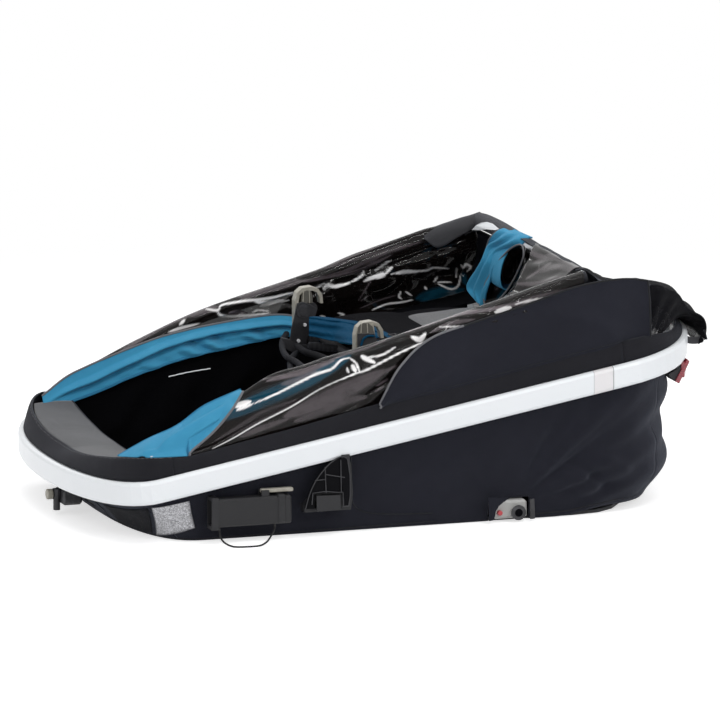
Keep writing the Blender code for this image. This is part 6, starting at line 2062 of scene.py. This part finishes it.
def flapPoint(u, v):
    # the blue flap over the crossbar and down the roll's front, u down it, v from its far to its near edge
    p = Vector(alongRows(flap["far"], u)).lerp(Vector(alongRows(flap["near"], u)), v)
    middle = math.sin(math.pi * v)
    out = 0.0060 * middle * math.sin(math.pi * u) + 0.0034 * math.sin(16 * v + 7 * u) * ease(u / 0.3)
    out += 0.0022 * ripple(p.x, p.y, p.z, 26)
    return p + Vector((-out, 0, out * 0.25))


# blue cloth behind the mouth's film, and two small painted reflections on it
mouthMarks = (
    (2, 0.9, 2.0, 3.5, ((498, 300), (508, 288), (514, 268))),
    (1, 0.7, 0.4, 1.0, ((495, 285), (497, 289), (500, 286))),
    (1, 0.5, 0.5, 1.2, ((508, 262), (511, 270), (507, 280))),
)


# a near-black cloth closing the mouth from behind: painted shade of the roll's inside
def mouthBackPoint(u, v):
    return mouthPoint(u, 1.0).lerp(Vector(mouth["back"]), v)


def makeRoll():
    sheets = {}
    for name, surface, across, along, thickness, finishName, slotName, held in (
        ("rolledCover", rollOuterPoint, 110, 44, 0.0014, "blueCloth", "blue_cloth", "folded"),
        ("rolledFilm", rollInnerPoint, 150, 30, 0.0011, "vinyl", "tinted_vinyl", "folded"),
        ("coverFlap", flapPoint, 60, 44, 0.0014, "blueCloth", "blue_cloth", "draped"),
        ("coverMouth", mouthPoint, 120, 16, 0.0009, "vinyl", "tinted_vinyl", "folded"),
        ("coverMouthBack", mouthBackPoint, 60, 8, 0.0008, "linerCloth", "black_cloth", None),
    ):
        piece = sheets[name] = cloth(name, surface, across, along, thickness, finishName)
        if held:
            cutFrom(piece, surface, held, "rear_crossbar")
        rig.slot(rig.ride(piece, "roof_frame"), slotName)
    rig.replaces(sheets["rolledCover"], "rolled_cover")
    paint(sheets["coverMouth"], mouthMarks)
    mouthEdge = traced(mouthPoint, 120, 0.0, (-0.001, 0, 0))[:-1]
    farEdge = [flapPoint(0.12 + 0.88 * k / 60, 0.0) for k in range(61)]
    for name, line, finishName, slotName, closed in (
        ("coverMouthPiping", mouthEdge, "piping", "black_cloth", True),
        ("coverFlapPiping", farEdge, "piping", "black_cloth", False),
        ("coverFlapHem", traced(flapPoint, 60, 1.0), "blueHem", "blue_cloth", False),
    ):
        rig.slot(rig.ride(rod(name, line, 0.0016, finishName, 8, closed), "roof_frame"), slotName)
    print("rolled cover: 5 pieces and 3 edges")


makeRoll()


# Seat: padded base on the floor and padded back on the uprights' hoop

seat = {
    "baseLow": (-0.020, -0.215, 0.0376),
    "baseHigh": (0.330, 0.215, 0.0926),
    "backLow": (-0.0150, -0.160, 0.2643),
    "backHigh": (0.400, 0.160, 0.2923),
    "channels": 3,
    "crown": 0.010,
    "inset": 0.005,
    "voxel": 0.006,
    "pressure": 4.0,
    "frames": 20,
    "cap": 0.007,
}


def cushionMesh(name, low, high, channels, finish):
    # rounded block with sewn channels across its top
    middle, size = (Vector(high) + Vector(low)) / 2, (Vector(high) - Vector(low)) / 2
    bm = bmesh.new()
    bmesh.ops.create_cube(bm, size=2.0)
    bmesh.ops.subdivide_edges(bm, edges=list(bm.edges), cuts=23, use_grid_fill=True)
    for vertex in bm.verts:
        u, w, t = vertex.co
        edge = (1 - abs(u) ** 5) * (1 - abs(w) ** 5)
        seam = abs(math.sin(math.pi * channels * (u + 1) / 2)) ** 0.5
        crown = seat["crown"] * edge * (0.35 + 0.65 * seam) * (t + 1) / 2 if t > -0.9 else 0.0
        pinch = 1 - t * t
        x = u * size.x * (1 - 0.02 * (1 - w * w) * pinch)
        y = w * size.y * (1 - 0.02 * (1 - u * u) * pinch)
        vertex.co = Vector((x, y, t * size.z + crown))
    bmesh.ops.translate(bm, vec=middle, verts=bm.verts)
    mesh = bpy.data.meshes.new(name)
    bm.to_mesh(mesh)
    bm.free()
    mesh.shade_smooth()
    return newPiece(name, mesh, finish)


def swell(piece, lowest):
    # blows the pad up a little, which gives its cloth soft wrinkles; nothing sinks below lowest
    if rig.quick():
        return piece
    remesh = piece.modifiers.new("even", "REMESH")
    remesh.mode = "VOXEL"
    remesh.voxel_size = seat["voxel"]
    remesh.use_smooth_shade = True
    applyModifiers(piece)
    before = [vertex.co.copy() for vertex in piece.data.vertices]
    soft = piece.modifiers.new("swell", "CLOTH")
    soft.settings.use_pressure = True
    soft.settings.uniform_pressure_force = seat["pressure"]
    soft.settings.effector_weights.gravity = 0.0
    soft.point_cache.frame_start = 1
    soft.point_cache.frame_end = seat["frames"]
    for step in range(1, seat["frames"] + 1):
        bpy.context.scene.frame_set(step)
    applyModifiers(piece)
    bpy.context.scene.frame_set(1)
    for vertex, place in zip(piece.data.vertices, before):
        moved = vertex.co - place
        if moved.length > seat["cap"]:
            moved *= seat["cap"] / moved.length
        vertex.co = place + moved
        vertex.co.z = max(vertex.co.z, lowest)
    finer = piece.modifiers.new("finer", "SUBSURF")
    finer.levels = finer.render_levels = 1
    applyModifiers(piece)
    piece.data.shade_smooth()
    return piece


def shrunk(low, high):
    # a little smaller than the block it stands for, so that it fills it when blown up
    inset = seat["inset"]
    return (low[0] + inset, low[1] + inset, low[2] + 0.001), (high[0] - inset, high[1] - inset, high[2] - 0.002)


def makeSeat():
    for name, node, body, low, high, finishName, slotName in (
        ("seatBase", "seat_base", "chassis", seat["baseLow"], seat["baseHigh"], "seatMelange", "black_cloth"),
        ("seatBack", "seat_back", "uprights", seat["backLow"], seat["backHigh"], "padCloth", "grey_cloth"),
    ):
        piece = swell(cushionMesh(name, *shrunk(low, high), seat["channels"], finishName), low[2])
        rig.ride(piece, body)
        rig.replaces(piece, node)
        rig.slot(piece, slotName)
        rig.padded(piece, fill=0.6)
        middle = (low[2] + high[2]) / 2 + 0.004
        corners = ((low[0], low[1]), (high[0], low[1]), (high[0], high[1]), (low[0], high[1]))
        edge = [Vector((x, y, middle)) for x, y in corners]
        piping = rod(f"{name}Piping", roundedLoop(edge, 0.030), 0.0026, "boundEdge", 8, closed=True)
        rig.slot(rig.ride(piping, body), slotName)
    print("seat: 2 pads")


def roundedLoop(corners, radius):
    # closed chain of points with its corners rounded
    chain = []
    for i, corner in enumerate(corners):
        back = (corners[i - 1] - corner).normalized()
        ahead = (corners[(i + 1) % len(corners)] - corner).normalized()
        for k in range(9):
            t = k / 8
            start, end = corner + back * radius, corner + ahead * radius
            chain.append(start.lerp(corner, t).lerp(corner.lerp(end, t), t))
    return chain


makeSeat()


# Dark lining of the cabin: walls from under the blue strips and the nose panel down to the floor

liner = {
    "thickness": 0.0012,
    "floorZ": 0.0180,
    "noseX": -0.4450,
    "noseZ": 0.1120,
    "wallY": 0.2660,
    "floorHalfWidth": 0.2420,
    "rearX": 0.300,
    "lineStart": (-0.2655, 0.2560, 0.1832),
    "lineEnd": (-0.1870, 0.2570, 0.1928),
}


def linerTop(t):
    # from the middle of the nose (0) back along the right side (1)
    turn = ease(min(t / 0.24, 1))
    x = mix(liner["noseX"], -0.440, turn) + max(t - 0.24, 0) / 0.76 * (liner["rearX"] + 0.440)
    y = liner["wallY"] * math.sin(math.pi / 2 * min(t / 0.22, 1))
    top = smoothTable(strip["foot"], min(max(x, strip["foot"][0][0]), 0.075))
    z = mix(liner["noseZ"], max(top + 0.004, ringTop(x) + 0.020), turn)
    return Vector((x, y, z))


def linerPoint(u, v):
    side = -1 if u < 0.5 else 1
    t = abs(u - 0.5) * 2
    top = linerTop(t)
    footX = max(top.x + 0.004 + 0.05 * (1 - ease(t / 0.3)), -0.40)
    foot = Vector((footX, top.y / liner["wallY"] * liner["floorHalfWidth"], liner["floorZ"]))
    p = top.lerp(foot, v)
    inward = 0.010 * math.sin(math.pi * v)
    hang = math.sin(math.pi * min(v * 1.2, 1))
    folds = 0.0046 * math.sin(58 * p.x + 9 * v + 2.2 * ripple(p.x, side, p.z, 11)) * hang
    folds += 0.0030 * ripple(p.x * 1.6, side * 0.4, p.z, 20) * hang
    p.y -= (inward + folds) * min(t / 0.15, 1)
    p.x += folds * (1 - min(t / 0.15, 1))
    return Vector((p.x, side * p.y, p.z))


def linerFloorPoint(u, v):
    x = mix(-0.400, liner["rearX"], u)
    half = liner["floorHalfWidth"] * mix(0.80, 1.0, ease((x + 0.40) / 0.10))
    return Vector((x, mix(-half, half, v), liner["floorZ"] + 0.0014 * ripple(x, v, 0, 16)))


def makeInside():
    walls = cloth("linerWalls", linerPoint, 320, 40, liner["thickness"], "linerCloth")
    ground = cloth("linerFloor", linerFloorPoint, 80, 50, liner["thickness"], "linerCloth")
    cutFrom(walls, linerPoint, "hung", "floor_pan")
    cutFrom(ground, linerFloorPoint, "laid", "floor_pan")
    line = []
    for k in range(21):
        wander = Vector((0, 0.0008 * math.sin(k * 1.7) - 0.0060, 0.0012 * math.sin(math.pi * k / 20)))
        line.append(Vector(liner["lineStart"]).lerp(Vector(liner["lineEnd"]), k / 20) + wander)
    shine = rod("linerReflectiveLine", line, 0.0011, "band", 6)
    for piece in (walls, ground, shine):
        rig.slot(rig.ride(piece, "chassis"), "black_cloth")
    print("lining: 3 pieces")


makeInside()


# Seat back's light panel, and the harness that lies on and under it

harness = {
    "line": (
        (0.345, 0.0625, 0.0), (0.250, 0.0625, 0.0), (0.160, 0.0620, 0.0), (0.070, 0.0600, -0.001),
        (0.010, 0.0540, -0.006),
    ),
    "z": 0.2600,
    "thickness": 0.0017,
    "yokeX": 0.163,
    "yokeY": (-0.062, -0.02, 0.02, 0.062),
}
backPanel = {
    "x": (0.118, 0.300),
    "halfWidth": 0.098,
    "z": 0.3065,
}


def backPanelPoint(u, v):
    x = mix(*backPanel["x"], u)
    y = mix(-1, 1, v) * backPanel["halfWidth"] * (1 - 0.10 * (1 - u))
    z = backPanel["z"] - 0.0050 * (2 * v - 1) ** 4 - 0.0060 * (2 * u - 1) ** 6 + 0.0050 * u
    return Vector((x, y, z + 0.0010 * ripple(x, y, 0, 20)))


def makeSeatDetail():
    face = cloth("seatBackPanel", backPanelPoint, 60, 50, 0.0016, "greyMelange")
    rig.slot(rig.ride(cutFrom(face, backPanelPoint, "laid", "seat_back"), "uprights"), "grey_cloth")
    rim = [backPanelPoint(u, v) for u, v in ((0, 0), (1, 0), (1, 1), (0, 1))]
    trim = rod("seatBackPanelSeam", roundedLoop(rim, 0.020), 0.0016, "boundEdge", 8, closed=True)
    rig.slot(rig.ride(trim, "uprights"), "grey_cloth")
    for side, label in ((-1, "left"), (1, "right")):
        line = [(x, side * y, harness["z"] + z) for x, y, z in harness["line"]]
        piece = strap(f"harness_{label}", line, 0.025, harness["thickness"], "webbing")
        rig.slot(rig.ride(piece, "uprights"), "black_cloth")
        if label == "left":
            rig.replaces(piece, "harness_straps")
    line = [(harness["yokeX"], y, harness["z"]) for y in harness["yokeY"]]
    yoke = strap("harnessYoke", line, 0.026, harness["thickness"], "webbing", (1, 0, 0))
    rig.slot(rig.ride(yoke, "uprights"), "black_cloth")
    print("seat back panel and harness: 6 pieces")


makeSeatDetail()


# What lies between the claws: blue cloth folded over the pad, a quilted sleeve, a bundle of straps, covers and screws

tangle = {
    "crest": ((309, 317.3), (316, 317.8), (328, 319.5), (345, 322), (362, 327), (378, 332), (388, 338)),
    "hem": ((309, 336), (316, 337.5), (328, 340.5), (345, 343), (362, 345), (378, 345), (388, 344)),
    "foldsTop": 0.3045,
    "foldsDrop": 0.0260,
    "hole": ((392, 318), (402, 318.5), (411, 322), (416, 326), (404, 333), (390, 341), (383, 340), (382, 328)),
    "sleeve": ((308, 345.5), (339, 349.0)),
    "sleeveZ": 0.2560,
    "sleeveRadius": 0.0072,
    "straps": (
        (0.0056, 0.2500, ((286, 334), (282, 342), (283, 351), (288, 358), (296, 362), (304, 368))),
        (0.0060, 0.2480, ((297, 346), (305, 352), (315, 355), (326, 359), (338, 366))),
        (0.0050, 0.2400, ((291, 372), (290, 362), (294, 355), (302, 351), (311, 350))),
    ),
    "cover": (
        (297, 303.5), (303, 302), (311, 305), (317.5, 309), (313.5, 321), (309, 334), (305.5, 346),
        (297, 345), (289.5, 341), (291, 330), (294, 318),
    ),
    "block": ((282, 338), (290, 340), (297, 345), (307, 345), (308, 353), (300, 355), (289, 351), (282, 346)),
    "screws": ((305, 325), (298.5, 341)),
    "hub": (303.5, 311.5, 0.1515),
    "ring": (392, 335, 0.3070),
    "hollows": (
        ((357.6, 333.5), (358.2, 327.5), (360.2, 324.8), (363.2, 323.6), (368.6, 323.6), (372.6, 327), (374.2, 333.5)),
        ((301, 303), (301.4, 295), (303.6, 291.6), (306.6, 290.4), (310.5, 290.6), (312.4, 295), (312.6, 303)),
    ),
    "dark": ((357.4, 333.8), (374.4, 333.8), (376.4, 341), (377, 356), (357.0, 358)),
    "lap": ((361, 346), (363.5, 339.5), (368, 336.5), (374, 336.5)),
}


def foldsPoint(u, v):
    across = mix(tangle["crest"][0][0], tangle["crest"][-1][0], u)
    crest, hem = smoothTable(tangle["crest"], across), smoothTable(tangle["hem"], across)
    if v < 0.25:
        # the part behind the crest lies back on the pad
        p = seenAt(across, crest, tangle["foldsTop"])
        back = 1 - v / 0.25
        return p + Vector((0.034 * back, 0.010 * back, -0.0050 * back * back))
    t = (v - 0.25) / 0.75
    folded = 0.5 - 0.5 * math.cos(math.tau * 2.1 * t + 0.5 * math.sin(4 * u + 1))
    depth = 0.0090 * (1 - folded) * ease(t / 0.1) + 0.0015 * ripple(u * 3, t, 0, 6)
    drop = tangle["foldsDrop"] * t * (1 - 0.55 * ease((across - 333) / 16))
    p = seenAt(across, mix(crest, hem, t) + 0.5 * math.sin(7 * u + 3 * t), tangle["foldsTop"] - drop)
    return p - Vector(view["towards"]) * depth


def sleevePoint(u, v):
    start, end = (seenAt(*spot, tangle["sleeveZ"]) for spot in tangle["sleeve"])
    turn = math.tau * u
    quilted = 0.80 + 0.20 * abs(math.sin(math.pi * 7 * v)) ** 0.5
    ends = math.sqrt(max(math.sin(math.pi * min(max(v, 0.02), 0.98)), 0.0)) ** 0.35
    size = tangle["sleeveRadius"] * quilted * ends
    return start.lerp(end, v) + Vector((0, math.cos(turn) * size, math.sin(turn) * size))


def makeTangle():
    # the folds take the darker blue: painted shade, as they lie in shadow under the film
    folds = cloth("blueFolds", foldsPoint, 110, 90, 0.0012, "blueShade")
    pieces = [(cutFrom(folds, foldsPoint, "folded", "seat_back"), "blue_cloth")]
    hole = [seenAt(*spot, tangle["foldsTop"]) for spot in tangle["hole"]]
    below = [p - Vector((0, 0, 0.0012)) for p in hole]
    count = len(hole)
    faces = [tuple(range(count)), tuple(range(count, 2 * count))[::-1]]
    pieces.append((addMesh("darkLining", hole + below, faces, "padCloth"), "black_cloth"))
    loop = []
    for k in range(24):
        turn, size = math.tau * k / 24, 0.0068
        out = Vector((size * math.cos(turn), size * math.sin(turn), 0.0010 * math.cos(math.tau * k / 12)))
        loop.append(seenAt(*tangle["ring"]) + out)
    pieces.append((rod("harnessRing", loop, 0.0012, "dullPlastic", 8, closed=True), "black_plastic"))
    pieces.append((cloth("quiltedSleeve", sleevePoint, 28, 90, 0.0009, "webbing"), "black_cloth"))
    for k, (radius, z, spots) in enumerate(tangle["straps"]):
        line = smoothLine([seenAt(*spot, z) for spot in spots], 6)
        pieces.append((rod(f"looseStrap{k}", line, radius, "strapCloth", 12), "black_cloth"))
    cover, block = outlineAt(tangle["cover"], 0.1530), outlineAt(tangle["block"], 0.1500)
    pieces.append((plate("armCover", cover, 0.0030, "blackPlastic"), "black_plastic"))
    pieces.append((plate("armBlock", block, 0.0100, "dullPlastic"), "black_plastic"))
    hub = seenBeside(*tangle["hub"])
    pieces.append((rod("leverHub", [hub, hub + Vector((0, 0.004, 0))], 0.0125, "blackPlastic", 32), "black_plastic"))
    inset = [hub - Vector((0, 0.0008, 0)), hub]
    pieces.append((rod("leverHubInset", inset, 0.0080, "dullPlastic", 28), "black_plastic"))
    heads = outlineAt(tangle["screws"], 0.1505)
    screws = [rod("screw", [p, p + Vector((0, 0.0030, 0))], 0.0031, "brightSteel", 16) for p in heads]
    pieces.append((merge("armScrews", screws), "steel"))
    for piece, slotName in pieces:
        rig.slot(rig.ride(piece, "uprights"), slotName)
    print("tangle between the claws:", len(pieces), "pieces")


def makeClawFaces():
    for node, spots in zip(("claw_left", "claw_right"), tangle["hollows"]):
        face = frontOf(node) - 0.0005
        # a flat plate in darker beige on the claw's face: painted shade of its hollow
        hollow = plate(node + "_hollow", outlineAt(spots, face), 0.0008, "beigeShade")
        middle = sum(spot[0] for spot in spots) / len(spots)
        low, high = max(spot[1] for spot in spots), min(spot[1] for spot in spots)
        ribs = []
        for k in (-3.4, 2.2):
            line = outlineAt(((middle + k, high + 0.6), (middle + k * 1.2, low)), face - 0.0006)
            ribs.append(rod("rib", line, 0.0010, "beigePlastic", 6))
        pieces = [(hollow, "grey_plastic"), (merge(node + "_ribs", ribs), "grey_plastic")]
        if node == "claw_left":
            inset = plate(node + "_inset", outlineAt(tangle["dark"], face), 0.0008, "dullPlastic")
            lap = smoothLine(outlineAt(tangle["lap"], face - 0.0016), 6)
            pieces.append((inset, "black_plastic"))
            # the blue lap takes the darker blue too: painted shade
            pieces.append((rod(node + "_lap", lap, 0.0022, "blueShade", 8), "blue_cloth"))
        for piece, slotName in pieces:
            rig.slot(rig.ride(piece, node), slotName)
    print("claw faces: 2")


makeTangle()
makeClawFaces()


# The wheel plate's hub ring with the cloth's arch over it, and the reflectors' tilted faces

sides = {
    "hub": (517.5, 511.8),
    "hubRadius": 0.0136,
    "arch": ((488.2, 520.5), (487.5, 497), (509, 497.2), (503.5, 501), (498.0, 505.5), (495.0, 511), (493.4, 519.5)),
    "stop": ((529.2, 498.5), (533.4, 498), (534.2, 518), (529.6, 518.6)),
    "bracketCurve": ((346.5, 457), (342, 455.6), (336, 458.5), (327, 466), (316, 480.5), (310, 494), (306, 508)),
    "bracketBack": ((315.4, 507.6), (315.4, 492.6), (344, 490), (347, 466)),
    "bracketRibs": (
        ((325.5, 466), (326.5, 492)),
        ((315.5, 479.5), (326, 478.4)),
        ((326, 473.5), (345, 476.5)),
        ((341, 459), (341.5, 491)),
        ((347.6, 458.5), (350.2, 474.6), (350.3, 494), (348.9, 504.5), (342.8, 505.5)),
        ((312.5, 503.5), (313.5, 492), (325.5, 490.3), (343.2, 491.5), (343.8, 504.5)),
    ),
    "bracketHollow": (
        (341.5, 457.2), (345, 456.4), (347.2, 459), (349.6, 475), (349.7, 494), (348.3, 504), (343.6, 504.6),
        (343.5, 491), (341, 475),
    ),
    "button": ((317, 494.6), (340.6, 494.0), (341.2, 508.6), (317.4, 510.6)),
    "lens": ((686.6, 359.2), (689.0, 361.8), (678.6, 383.8), (674.4, 381.8)),
    "mount": ((667.5, 374.6), (678, 368.5), (686.6, 359.6), (674.6, 381.6), (670, 378)),
}


def makeSides():
    face, depth = frontOf("wheel_socket_left"), frontOf("reflector_left")
    for label, side in (("Left", 1), ("Right", -1)):
        def over(spots, y):
            return [Vector((p.x, p.y * side, p.z)) for p in outlineAt(spots, y)]

        hub = over([sides["hub"]], face)[0]
        front, mouthEnd = (hub + Vector((0, -side, 0)) * reach for reach in (0.0022, 0.0027))
        radius = sides["hubRadius"]
        pieces = [
            (rod("hubRing" + label, [hub, front], radius, "blackPlastic", 40), "black_plastic"),
            # a near-black disc in the hub ring's mouth: painted shade of the socket's bore
            (rod("hubMouth" + label, [front, mouthEnd], radius * 0.52, "padCloth", 32), "black_plastic"),
        ]
        for name, key, y, thickness, finishName, slotName in (
            ("wheelStop", "stop", face - 0.0020, 0.0040, "blackPlastic", "black_plastic"),
            ("wheelArch", "arch", face - 0.0030, 0.0012, "blackCloth", "black_cloth"),
            ("lensFace", "lens", depth, 0.0440, "redLens", "red_lens"),
            ("lensMount", "mount", depth + 0.004, 0.0360, "dullPlastic", "black_plastic"),
        ):
            pieces.append((plate(name + label, over(sides[key], y), side * thickness, finishName), slotName))
        for piece, slotName in pieces:
            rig.slot(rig.ride(piece, "chassis"), slotName)
    print("wheel plates and reflectors: 12 pieces")


def makeBracketFace():
    # the bracket's bowed front edge, its ribs and the latch button's face; the web behind the edge and the hollow are
    # near-black plates, painted shade of the cells
    face = frontOf("side_bracket")
    curve = smoothLine(outlineAt(sides["bracketCurve"], face), 6)
    web = [p + Vector((0, 0.0012, 0)) for p in curve + outlineAt(sides["bracketBack"], face)]
    hollow, button = outlineAt(sides["bracketHollow"], face - 0.0003), outlineAt(sides["button"], face - 0.0016)
    lines = [curve] + [outlineAt(rib, face - 0.0004) for rib in sides["bracketRibs"]]
    for piece, body in (
        (plate("bracketWeb", web, 0.0060, "hollowPlastic"), "chassis"),
        (plate("bracketHollow", hollow, 0.0004, "hollowPlastic"), "chassis"),
        (merge("bracketRibs", [rod("rib", line, 0.0010, "dullPlastic", 6) for line in lines]), "chassis"),
        (plate("buttonFace", button, 0.0020, "darkPlastic"), "latch_button"),
    ):
        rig.slot(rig.ride(piece, body), "black_plastic")
    print("side bracket: bowed edge, ribs and button face")


makeSides()
makeBracketFace()


with open("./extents.json", "w") as sizes:
    json.dump({"cad": [list(corner) for corner in cadBox], "visual": [list(corner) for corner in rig.bounds()]}, sizes)
